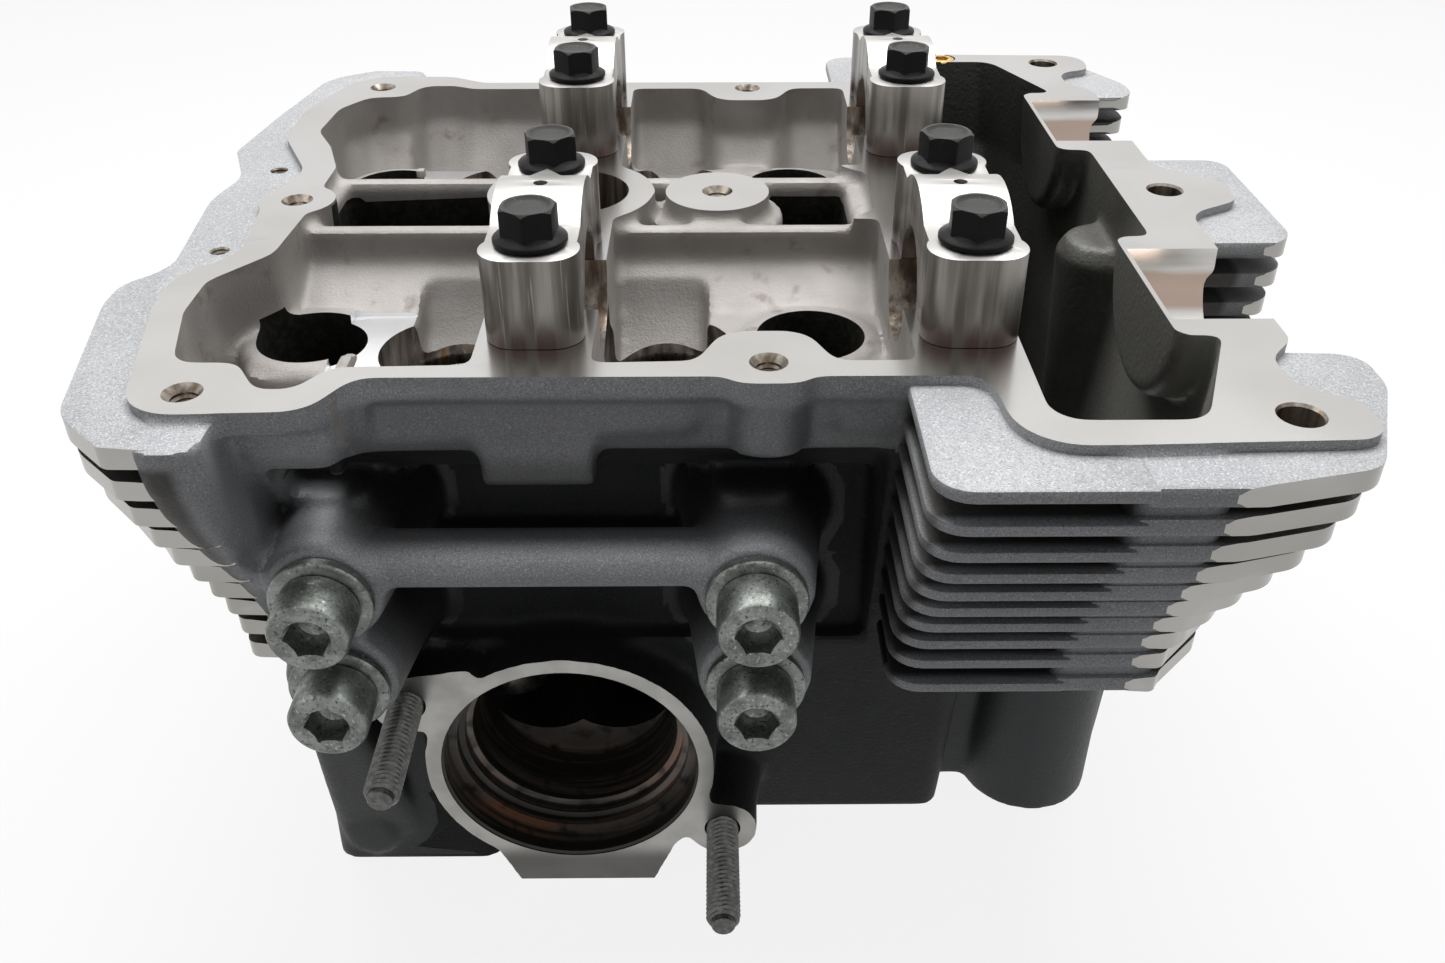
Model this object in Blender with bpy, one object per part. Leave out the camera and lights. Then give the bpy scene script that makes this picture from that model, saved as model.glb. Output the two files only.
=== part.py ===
"""Air-cooled twin-cam cylinder head for a single-cylinder engine, bare on top.

Everything is modelled about the cylinder axis, with Z = 0 on the valve-cover face and the
camshafts along X. One empty carries the whole head to its own frame: its origin lies below
the middle of the head, on the face that meets the cylinder. Lengths are in metres, Z is up.
"""

import math

import bmesh
import bpy
from mathutils import Matrix, Vector

MM = 0.001

# Casting: the face that carries the valve cover, its bays, and the reach of the fins
HEAD_HEIGHT = 150 * MM
BAY_LEFT = 71.5 * MM
BAY_FRONT = 85.5 * MM
BAY_REAR = 81 * MM
FLOOR_DEPTH = 24 * MM
FLOOR_THICK = 8 * MM
WALL = 6 * MM
SPINE_HALF = 17 * MM
BEARING_WALL = 22.4 * MM
RIB_WIDTH = 3.5 * MM
RIB_DROP = 3 * MM
SLOPE_DROP = 10.5 * MM
SLOPE_REACH = 17 * MM
POCKET_DEPTH = 52 * MM
FIN_LEFT = 91 * MM
FIN_RIGHT = 166 * MM
FIN_FRONT = 126 * MM
FIN_REAR = 120 * MM
FIN_COUNT = 9
FIN_PITCH = 7.3 * MM
FIN_THICK = 3.8 * MM
FIN_TAPER = 26 * MM
FIN_WEB_RIGHT = -54 * MM
PLATE_DROP = 2 * MM
PLATE_THICK = 4.5 * MM
FLANGE_THICK = 5.6 * MM
DECK_LEFT = 60 * MM
DECK_FRONT = 58 * MM
DECK_REAR = 62 * MM
DECK_FOOT_FRONT = 75 * MM
DECK_FOOT_RIGHT = -20 * MM
DECK_FOOT_HEIGHT = 46 * MM
RECESS_LEFT = 51 * MM
RECESS_RIGHT = 67 * MM
RECESS_IN = 23 * MM
RECESS_FOOT = 78 * MM
CENTRE_BOSS_X = 35.3 * MM
CENTRE_BOSS = 25 * MM
LEFT_BOSS = 18 * MM
COLUMN_X = 44.5 * MM
COLUMN_FOOT = 21 * MM
COLUMN_RADIUS = 7 * MM

# Camshaft bearings, their bolts and ring dowels
CAM_OFFSET = 52 * MM
CAM_BORE = 24 * MM
CAP_SPACING = 83.5 * MM
CAP_WIDTH = 19 * MM
CAP_HEIGHT = 18 * MM
CAP_CROWN = 4 * MM
CAP_END = 9 * MM
CAP_BOLT_REACH = 20 * MM
CAP_BOLT_THREAD = 6 * MM
CAP_BOLT_DEPTH = 22 * MM
CAP_BOLT_HEX = 10 * MM
CAP_BOLT_FLANGE = 14.2 * MM
CAP_BOLT_HEAD = 7.5 * MM
CAP_BOLT_BRIM = 1.4 * MM
DOWEL_OUTER = 9 * MM
DOWEL_HALF = 5 * MM

# Valves, at distances measured down each valve's axis from the camshaft's axis
VALVE_SPREAD = 23.5 * MM
VALVE_TILT = math.radians(13)
VALVE_TIP = 29 * MM
SPRING_FLOOR = 72 * MM
SEAT_DISTANCE = 139 * MM
TAPPET_BORE = 30 * MM
STEM = 6 * MM
INTAKE_VALVE = 37 * MM
EXHAUST_VALVE = 33 * MM
SEAT_HEIGHT = 6.5 * MM
SEAT_RIM = 1.6 * MM
THROAT_STEP = 3 * MM
GUIDE_OUTER = 11 * MM
GUIDE_LENGTH = 44 * MM
GUIDE_RISE = 8 * MM
SEAL_HEIGHT = 6 * MM
SPRING_COIL = 21 * MM
SPRING_WIRE = 3.2 * MM
SPRING_TURNS = 5
RETAINER_OUTER = 26 * MM
RETAINER_THICK = 3 * MM
COLLET_TOP = 8.6 * MM
COLLET_FOOT = 7.4 * MM
COLLET_LENGTH = 6 * MM

# Combustion chamber, spark plug and head studs
CYLINDER_BORE = 98 * MM
PLUG_THREAD = 14 * MM
PLUG_SEAT = 118 * MM
PLUG_REACH = 24 * MM
PLUG_WELL = 28 * MM
PLUG_RING = 40 * MM
STUD_X = 55 * MM
STUD_Y = 45 * MM
STUD_HOLE = 11.5 * MM
WELL_BORE = 26 * MM
WELL_DEPTH = 62 * MM

# Chain tunnel
TUNNEL_LEFT = 93 * MM
TUNNEL_RIGHT = 132 * MM
TUNNEL_REACH = 108 * MM
TUNNEL_FOOT = 50 * MM
TUNNEL_NECK = 100 * MM
TUNNEL_SHOULDER = 78 * MM
TUNNEL_WALL = 13 * MM
TUNNEL_BOSS_X = 119 * MM
TUNNEL_BOSS_Y = 43 * MM
TUNNEL_BOSS_RADIUS = 17 * MM
NOTCH_RADIUS = 17 * MM

# Ports
PORT_DEPTH = 111 * MM
EXHAUST_FACE = 82 * MM
INTAKE_FACE = 84 * MM
PORT_RING = 68 * MM
PORT_MOUTH = 60 * MM
PORT_BORE = 50 * MM
PORT_STEP = 8 * MM
PORT_STRAIGHT = 29 * MM
EXHAUST_STUD_THREAD = 8 * MM
EXHAUST_STUD_REACH = 41.5 * MM
EXHAUST_STUD_OUTSIDE = 29 * MM
EXHAUST_STUD_INSIDE = 16 * MM

# Side screws and washers
SCREW_X = 42.5 * MM
SCREW_HIGH = 44.5 * MM
SCREW_LOW = 67 * MM
SCREW_FACE = 100 * MM
SCREW_THREAD = 10 * MM
SCREW_HEAD = 16 * MM
SCREW_HEAD_HEIGHT = 10 * MM
SCREW_LENGTH = 25 * MM
SCREW_KEY = 8 * MM
SCREW_KEY_DEPTH = 5 * MM
SCREW_BOSS = 24 * MM
WASHER_OUTER = 20.5 * MM
WASHER_THICK = 2.5 * MM

# Holes in the cover face, and the oil gallery plug
COVER_HOLE = 5 * MM
COVER_DEPTH = 14 * MM
EAR_HOLE = 8 * MM
GALLERY_BORE = 8 * MM
GALLERY_DEPTH = 6 * MM

# Running gap of a stem in its guide, and the gap between pieces that sit together
RUNNING_GAP = 0.05 * MM
FIT = 0.2 * MM

# Facets round a turned piece, and round a wide one, and how far a cutter runs past a face
SIDES = 12
WIDE_SIDES = 20
OVERRUN = 1 * MM

FRONT_EDGE = -BAY_FRONT - WALL
REAR_EDGE = BAY_REAR + WALL
RIGHT_EDGE = TUNNEL_RIGHT + TUNNEL_WALL
TUNNEL_EDGE = TUNNEL_REACH + WALL + 2 * MM
CAMS = {"exhaust": -1, "intake": 1}
SIDE_NAMES = {"left": -1, "right": 1}
CORE_POCKETS = {"left": (-52 * MM, -20.5 * MM), "right": (48.5 * MM, 67 * MM)}


# ---------------------------------------------------------------- shapes

def rounded(corners, steps=2):
    """Points of a closed outline through (x, y, radius) corners, each turned by an arc."""
    points = []
    for index, (x, y, radius) in enumerate(corners):
        corner = Vector((x, y))
        before = Vector(corners[index - 1][:2]) - corner
        after = Vector(corners[(index + 1) % len(corners)][:2]) - corner
        half = before.angle(after) / 2
        tangent = min(radius / math.tan(half), before.length * 0.49, after.length * 0.49)
        if radius == 0 or tangent < 0.1 * MM:
            points.append(corner)
            continue
        arc = tangent * math.tan(half)
        start = corner + before.normalized() * tangent
        inward = (before.normalized() + after.normalized()).normalized()
        centre = corner + inward * (arc / math.sin(half))
        sweep = (start - centre).angle_signed(corner + after.normalized() * tangent - centre)
        for step in range(steps + 1):
            turn = Matrix.Rotation(-sweep * step / steps, 2)
            points.append(centre + turn @ (start - centre))
    return points


def circle(x, y, radius, sides=SIDES):
    turns = [2 * math.pi * (step + 0.5) / sides for step in range(sides)]
    return [Vector((x + radius * math.cos(turn), y + radius * math.sin(turn))) for turn in turns]


def mesh_of(name, rings, closed_loop=False):
    """A closed skin over rings of points with equal counts, capped at both ends or joined round."""
    build = bmesh.new()
    loops = [[build.verts.new(point) for point in ring] for ring in rings]
    pairs = list(zip(loops, loops[1:]))
    if closed_loop:
        pairs.append((loops[-1], loops[0]))
    else:
        build.faces.new(loops[0])
        build.faces.new(loops[-1])
    for low, high in pairs:
        for index in range(len(low)):
            after = (index + 1) % len(low)
            build.faces.new((low[index], low[after], high[after], high[index]))
    bmesh.ops.recalc_face_normals(build, faces=build.faces)
    mesh = bpy.data.meshes.new(name)
    build.to_mesh(mesh)
    build.free()
    return mesh


def prism(name, outline, low, high):
    return mesh_of(name, [[(x, y, z) for x, y in outline] for z in (low, high)])


def loft(name, *levels):
    """Levels are (z, outline), from one end to the other."""
    return mesh_of(name, [[(x, y, z) for x, y in outline] for z, outline in levels])


def box(name, low, high):
    corners = [(low[0], low[1]), (high[0], low[1]), (high[0], high[1]), (low[0], high[1])]
    return prism(name, corners, low[2], high[2])


def block(x_low, x_high, y_low, y_high, radius=5 * MM):
    """A rectangle with round corners."""
    return rounded([(x_low, y_low, radius), (x_low, y_high, radius), (x_high, y_high, radius),
                    (x_high, y_low, radius)])


def frame_along(direction):
    """Two unit vectors square to a direction, the first as near to +X as it goes."""
    axis = Vector(direction).normalized()
    guide = Vector((1, 0, 0)) if abs(axis.x) < 0.9 else Vector((0, 1, 0))
    across = (guide - axis * guide.dot(axis)).normalized()
    return across, axis.cross(across)


def ring_at(centre, direction, radius, sides=SIDES):
    across, upward = frame_along(direction)
    turns = [2 * math.pi * (step + 0.5) / sides for step in range(sides)]
    return [Vector(centre) + radius * (across * math.cos(turn) + upward * math.sin(turn))
            for turn in turns]


def barrel(name, start, direction, stations, sides=SIDES):
    """A turned solid from start along direction; stations are (distance, radius)."""
    axis = Vector(direction).normalized()
    rings = [ring_at(Vector(start) + axis * far, axis, radius, sides) for far, radius in stations]
    return mesh_of(name, rings)


def sleeve(name, profile, sides=SIDES):
    """A ring about Z: the profile's (radius, z) points run round its wall."""
    rings = [ring_at((0, 0, z), (0, 0, 1), radius, sides) for radius, z in profile]
    return mesh_of(name, rings, closed_loop=True)


def spindle(name, profile, sides=SIDES):
    """A solid about Z from (radius, z) points, foot first."""
    return mesh_of(name, [ring_at((0, 0, z), (0, 0, 1), radius, sides) for radius, z in profile])


def hexagon(z, across_flats, sides=12):
    """A six-sided ring with points at its corners and at the middles of its flats."""
    apothem = across_flats / 2
    radii = [apothem, apothem / math.cos(math.radians(30))]
    turns = [2 * math.pi * step / sides for step in range(sides)]
    return [(radii[step % 2] * math.cos(turn), radii[step % 2] * math.sin(turn), z)
            for step, turn in enumerate(turns)]


def round_ring(z, diameter, sides=12):
    turns = [2 * math.pi * step / sides for step in range(sides)]
    return [(diameter / 2 * math.cos(turn), diameter / 2 * math.sin(turn), z) for turn in turns]


# ---------------------------------------------------------------- objects

def metal(name, colour, roughness, metallic=1.0):
    material = bpy.data.materials.new(name)
    material.use_nodes = True
    shader = material.node_tree.nodes["Principled BSDF"]
    shader.inputs["Base Color"].default_value = (*colour, 1)
    shader.inputs["Roughness"].default_value = roughness
    shader.inputs["Metallic"].default_value = metallic
    return material


def empty(name, location, parent=None, tilt=0.0):
    carrier = bpy.data.objects.new(name, None)
    bpy.context.scene.collection.objects.link(carrier)
    carrier.parent = parent
    carrier.location = location
    carrier.rotation_euler.x = tilt
    return carrier


def piece(name, mesh, material, parent, location=(0, 0, 0), rotation=(0, 0, 0)):
    made = bpy.data.objects.new(name, mesh)
    bpy.context.scene.collection.objects.link(made)
    if not mesh.materials:
        mesh.materials.append(material)
    made.parent = parent
    made.location = location
    made.rotation_euler = rotation
    mesh.shade_smooth()
    mesh.set_sharp_from_angle(angle=math.radians(30))
    return made


class Tools:
    """Helper solids that Booleans join to an object or cut from it, kept out of the model."""

    def __init__(self, name, parent):
        self.collection = bpy.data.collections.new(name)
        bpy.context.scene.collection.children.link(self.collection)
        self.parent = parent

    def add(self, mesh, parent=None):
        helper = bpy.data.objects.new(mesh.name, mesh)
        helper.parent = parent or self.parent
        helper.hide_render = True
        helper.display_type = "WIRE"
        self.collection.objects.link(helper)

    def apply_to(self, target, operation):
        boolean = target.modifiers.new(self.collection.name, "BOOLEAN")
        boolean.operation = operation
        boolean.operand_type = "COLLECTION"
        boolean.collection = self.collection
        boolean.solver = "EXACT"


# ---------------------------------------------------------------- casting, as it leaves the mould

def cover_outline():
    """The face that the valve cover sits on, clockwise from the front left corner."""
    left = -BAY_LEFT - WALL - 2 * MM
    ear = RIGHT_EDGE + 14 * MM
    return rounded([
        (left + 10 * MM, FRONT_EDGE - 13 * MM, 9 * MM),
        (left + 1 * MM, -62 * MM, 12 * MM),
        (left, -47 * MM, 6 * MM),
        (left + 11 * MM, -37 * MM, 8 * MM),
        (left + 8 * MM, -12 * MM, 8 * MM),
        (left + 8 * MM, 2 * MM, 8 * MM),
        (left + 12 * MM, 14 * MM, 8 * MM),
        (left, 40 * MM, 8 * MM),
        (left, 62 * MM, 12 * MM),
        (left + 9 * MM, REAR_EDGE + 7 * MM, 9 * MM),
        (left + 36 * MM, REAR_EDGE + 6 * MM, 8 * MM),
        (left + 46 * MM, REAR_EDGE, 6 * MM),
        (TUNNEL_LEFT - 8 * MM, REAR_EDGE, 5 * MM),
        (TUNNEL_LEFT - 6.5 * MM, TUNNEL_EDGE, 12 * MM),
        (RIGHT_EDGE + 5 * MM, TUNNEL_EDGE - 2 * MM, 7 * MM),
        (RIGHT_EDGE + 4 * MM, TUNNEL_EDGE - 17 * MM, 5 * MM),
        (RIGHT_EDGE - 6 * MM, TUNNEL_EDGE - 20 * MM, 8 * MM),
        (RIGHT_EDGE - 6 * MM, TUNNEL_EDGE - 31 * MM, 6 * MM),
        (RIGHT_EDGE, TUNNEL_EDGE - 38 * MM, 5 * MM),
        (RIGHT_EDGE, 16 * MM, 9 * MM),
        (ear, 6 * MM, 6 * MM),
        (ear, -7 * MM, 6 * MM),
        (RIGHT_EDGE, -15 * MM, 9 * MM),
        (RIGHT_EDGE, 38 * MM - TUNNEL_EDGE, 5 * MM),
        (RIGHT_EDGE - 6 * MM, 31 * MM - TUNNEL_EDGE, 6 * MM),
        (RIGHT_EDGE - 6 * MM, 20 * MM - TUNNEL_EDGE, 8 * MM),
        (RIGHT_EDGE + 4 * MM, 15 * MM - TUNNEL_EDGE, 5 * MM),
        (RIGHT_EDGE + 5 * MM, 2 * MM - TUNNEL_EDGE, 7 * MM),
        (TUNNEL_LEFT - 6.5 * MM, -TUNNEL_EDGE, 12 * MM),
        (TUNNEL_LEFT - 8 * MM, FRONT_EDGE, 5 * MM),
        (left + 48 * MM, FRONT_EDGE, 6 * MM),
        (left + 42 * MM, FRONT_EDGE - 12 * MM, 8 * MM),
    ])


def fin_inset(level):
    """How far a fin stands back from the top plate: slowly at first, then more, then less."""
    share = level / FIN_COUNT
    return FIN_TAPER * share * share * (3 - 2 * share)


def left_fin(level):
    inset = fin_inset(level)
    reach = -FIN_LEFT + 0.5 * inset
    front = 13 * MM - FIN_FRONT + inset
    rear = FIN_REAR - 13 * MM - inset
    return rounded([
        (FIN_WEB_RIGHT - 2 * MM, front, 0),
        (-65 * MM, front, 3 * MM),
        (reach + 9 * MM, front + 12 * MM, 10 * MM),
        (reach, -57 * MM, 12 * MM),
        (reach, -47 * MM, 6 * MM),
        (reach + 8 * MM, -39 * MM, 6 * MM),
        (reach + 4 * MM, 0, 12 * MM),
        (reach + 7 * MM, 15 * MM, 6 * MM),
        (reach, 34 * MM, 8 * MM),
        (reach + 3 * MM, 60 * MM, 10 * MM),
        (reach + 9 * MM, rear - 8 * MM, 8 * MM),
        (-62 * MM, rear, 3 * MM),
        (FIN_WEB_RIGHT - 2 * MM, rear, 0),
    ], 1)


def right_corner_fin(level, end):
    """The fins round one right-hand corner; end is -1 at the front and 1 at the rear."""
    inset = fin_inset(level) + (3 * MM if level else 0)
    reach = FIN_RIGHT - 8 * MM - 0.7 * inset
    root = TUNNEL_REACH - 36 * MM
    span = (FIN_FRONT if end < 0 else FIN_REAR) - inset - root
    corners = [
        (TUNNEL_LEFT - 23 * MM, root, 0),
        (TUNNEL_LEFT - 23 * MM, root + span, 8 * MM),
        (TUNNEL_LEFT + 13 * MM, root + span, 0),
        (TUNNEL_RIGHT - 10 * MM, root + 0.95 * span, 6 * MM),
        (reach - 12 * MM, root + 0.87 * span, 8 * MM),
        (reach, root + 0.3 * span, 10 * MM),
        (reach, root + 1 * MM, 2 * MM),
        (RIGHT_EDGE - 8 * MM, root, 0),
    ]
    return rounded([(x, end * y, radius) for x, y, radius in corners], 1)


def right_middle_fin(level):
    reach = FIN_RIGHT - 0.5 * fin_inset(level)
    return rounded([
        (RIGHT_EDGE - 9 * MM, -27 * MM, 0),
        (RIGHT_EDGE - 9 * MM, 27 * MM, 0),
        (reach, 27 * MM, 7 * MM),
        (reach, -27 * MM, 7 * MM),
    ], 1)


def fin_levels():
    """(number, bottom, top) of the top plate and of each fin below it."""
    middle = -PLATE_DROP - PLATE_THICK / 2
    levels = [(0, -PLATE_DROP - PLATE_THICK, -PLATE_DROP)]
    for level in range(1, FIN_COUNT + 1):
        centre = middle - level * FIN_PITCH
        levels.append((level, centre - FIN_THICK / 2, centre + FIN_THICK / 2))
    return levels


def bay_outline(sideways, endways):
    """The outline of both bays together, moved outward by two distances."""
    left, right = -BAY_LEFT - sideways, TUNNEL_LEFT - 16 * MM
    inner = -BAY_LEFT + sideways  # the bumps' inner ends move the other way
    front, rear = -BAY_FRONT - endways, BAY_REAR + endways
    return rounded([
        (left + 5 * MM, front, 5 * MM),
        (left, front + 21 * MM, 8 * MM),
        (left, -50 * MM, 6 * MM),
        (left + 10 * MM, -36 * MM, 8 * MM),
        (left + 11 * MM, -SPINE_HALF, 4 * MM),
        (left + 11 * MM, SPINE_HALF, 4 * MM),
        (left + 6 * MM, 32 * MM, 8 * MM),
        (left, 44 * MM, 8 * MM),
        (left + 1 * MM, rear - 18 * MM, 8 * MM),
        (left + 7 * MM, rear - 8 * MM, 5 * MM),
        (left + 17 * MM, rear - 7 * MM, 4 * MM),
        (left + 21 * MM, rear + 3 * MM, 5 * MM),
        (inner + 30 * MM, rear + 3 * MM, 4 * MM),
        (inner + 36 * MM, rear, 4 * MM),
        (31 * MM, rear, 4 * MM),
        (36 * MM, rear - 11 * MM, 7 * MM),
        (52 * MM, rear - 11 * MM, 7 * MM),
        (57 * MM, rear, 4 * MM),
        (right, rear, 4 * MM),
        (right, front, 4 * MM),
        (57 * MM, front, 4 * MM),
        (52 * MM, front + 12 * MM, 7 * MM),
        (36 * MM, front + 12 * MM, 7 * MM),
        (31 * MM, front, 4 * MM),
        (inner + 35 * MM, front - 2 * MM, 5 * MM),
        (inner + 30 * MM, front - 10 * MM, 4 * MM),
        (left + 23 * MM, front - 10 * MM, 4 * MM),
        (left + 17 * MM, front, 5 * MM),
    ])


def add_fins(tools):
    heights = {}
    for level, bottom, top in fin_levels():
        heights[level] = top + 0.7 * MM
        tools.add(prism(f"fin_left_{level}", left_fin(level), bottom, top))
        tools.add(prism(f"fin_front_{level}", right_corner_fin(level, -1), bottom, top))
        tools.add(prism(f"fin_rear_{level}", right_corner_fin(level, 1), bottom, top))
        tools.add(prism(f"fin_right_{level}", right_middle_fin(level), bottom, top))

    # The web that the left fins grow from, at each end of the head
    for name, end, edge in (("front", -1, FIN_FRONT - 12 * MM), ("rear", 1, FIN_REAR - 12 * MM)):
        root = end * 30 * MM
        sections = [(-HEAD_HEIGHT - OVERRUN, block(0.5 * MM - DECK_LEFT, -36 * MM, root, end * 0.64 * edge))]
        for level in (FIN_COUNT, 2 * FIN_COUNT // 3, FIN_COUNT // 3, 0):
            inset = fin_inset(level)
            foot = FIN_WEB_RIGHT - 12 * MM + 0.25 * inset
            sections.append((heights[level], block(foot, FIN_WEB_RIGHT, root, end * (edge - inset))))
        tools.add(loft(f"fin_web_{name}", *sections))


def add_outer_bodies(tools):
    deck = -HEAD_HEIGHT - OVERRUN
    under_face = -PLATE_DROP - 1.4 * MM
    shoulder = -FLOOR_DEPTH - FLOOR_THICK
    add_fins(tools)
    tools.add(loft("bay_skirt", (shoulder, bay_outline(3 * MM, -8 * MM)),
                   (-0.5 * FLOOR_DEPTH, bay_outline(4.5 * MM, 4 * MM)),
                   (under_face, bay_outline(5 * MM, 5 * MM))))

    inner = TUNNEL_LEFT + 1 * MM
    tools.add(loft("cylinder_block",
                   (deck, block(-DECK_LEFT, inner, -DECK_FRONT, DECK_REAR)),
                   (under_face - 0.3 * MM, block(-DECK_LEFT - 3 * MM, inner, FRONT_EDGE + 2 * MM,
                                                 REAR_EDGE - 2 * MM))))
    tools.add(loft("tunnel_block",
                   (deck, block(TUNNEL_LEFT - 12 * MM, RIGHT_EDGE - 8 * MM,
                                3.5 * MM - TUNNEL_FOOT, TUNNEL_FOOT - 2 * MM)),
                   (-TUNNEL_NECK, block(TUNNEL_LEFT - 12 * MM, RIGHT_EDGE - 7 * MM,
                                        -TUNNEL_FOOT, TUNNEL_FOOT)),
                   (-TUNNEL_SHOULDER, block(TUNNEL_LEFT - 13 * MM, RIGHT_EDGE - 6 * MM,
                                            -0.7 * TUNNEL_REACH, 0.72 * TUNNEL_REACH)),
                   (under_face - 0.9 * MM, block(TUNNEL_LEFT - 14 * MM, RIGHT_EDGE - 2 * MM,
                                                 1 * MM - TUNNEL_EDGE, TUNNEL_EDGE - 1 * MM))))
    for side in (-1, 1):
        tools.add(barrel("tunnel_boss", (TUNNEL_BOSS_X, side * TUNNEL_BOSS_Y, deck), (0, 0, 1),
                         [(0, TUNNEL_BOSS_RADIUS), (HEAD_HEIGHT - TUNNEL_SHOULDER, TUNNEL_BOSS_RADIUS)]))
    tools.add(loft("deck_foot",
                   (deck, block(-DECK_LEFT, DECK_FOOT_RIGHT, -DECK_FOOT_FRONT, 0)),
                   (deck + DECK_FOOT_HEIGHT, block(-DECK_LEFT, DECK_FOOT_RIGHT - 3 * MM,
                                                   3 * MM - DECK_FOOT_FRONT, 0))))
    tools.add(barrel("cover_column", (COLUMN_X, FRONT_EDGE + 5 * MM, -COLUMN_FOOT), (0, 0, 1),
                     [(0, COLUMN_RADIUS - 3 * MM), (3 * MM, COLUMN_RADIUS),
                      (COLUMN_FOOT - OVERRUN, COLUMN_RADIUS)]))


def add_recesses(tools):
    """The hollows that the cores leave outside and inside."""
    tools.add(loft("bay_space", (-FLOOR_DEPTH, bay_outline(-1 * MM, -12 * MM)),
                   (-0.4 * FLOOR_DEPTH, bay_outline(0, 0)), (2 * OVERRUN, bay_outline(0, 0))))

    def tunnel(x_high, reach):
        return rounded([(TUNNEL_LEFT, -reach, 6 * MM), (TUNNEL_LEFT, reach, 6 * MM),
                        (x_high - 12 * MM, reach, 6 * MM), (x_high, 0.72 * reach, 8 * MM),
                        (x_high, -0.72 * reach, 8 * MM), (x_high - 12 * MM, -reach, 6 * MM)])

    tools.add(loft("tunnel_space",
                   (-HEAD_HEIGHT - 2 * OVERRUN, tunnel(TUNNEL_RIGHT - 7 * MM, TUNNEL_FOOT - 12 * MM)),
                   (-TUNNEL_NECK, tunnel(TUNNEL_RIGHT - 6 * MM, TUNNEL_FOOT - 9 * MM)),
                   (-TUNNEL_SHOULDER, tunnel(TUNNEL_RIGHT - 4 * MM, 0.63 * TUNNEL_REACH)),
                   (-FLOOR_DEPTH, tunnel(TUNNEL_RIGHT, TUNNEL_REACH - 4 * MM)),
                   (2 * OVERRUN, tunnel(TUNNEL_RIGHT, TUNNEL_REACH))))
    foot, ceiling, lip = -RECESS_FOOT, -FLOOR_DEPTH - FLOOR_THICK, 6 * MM - FLOOR_DEPTH
    for name, end, wall in (("front", -1, -FRONT_EDGE), ("rear", 1, REAR_EDGE)):
        depth, outside = wall - RECESS_IN, 1.6 * wall
        side = [(depth, foot), (depth, ceiling), (wall - 12 * MM, ceiling), (wall + 1 * MM, lip),
                (outside, lip), (outside, foot)]
        tools.add(mesh_of(f"recess_{name}", [[(x, end * y, z) for y, z in side]
                                             for x in (-RECESS_LEFT, RECESS_RIGHT)]))
    half = SPINE_HALF - RIB_WIDTH
    for name, (low, high) in CORE_POCKETS.items():
        tools.add(prism(f"core_pocket_{name}", block(low, high, -half, half, 3 * MM),
                        -POCKET_DEPTH, -FLOOR_DEPTH + OVERRUN))


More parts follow.
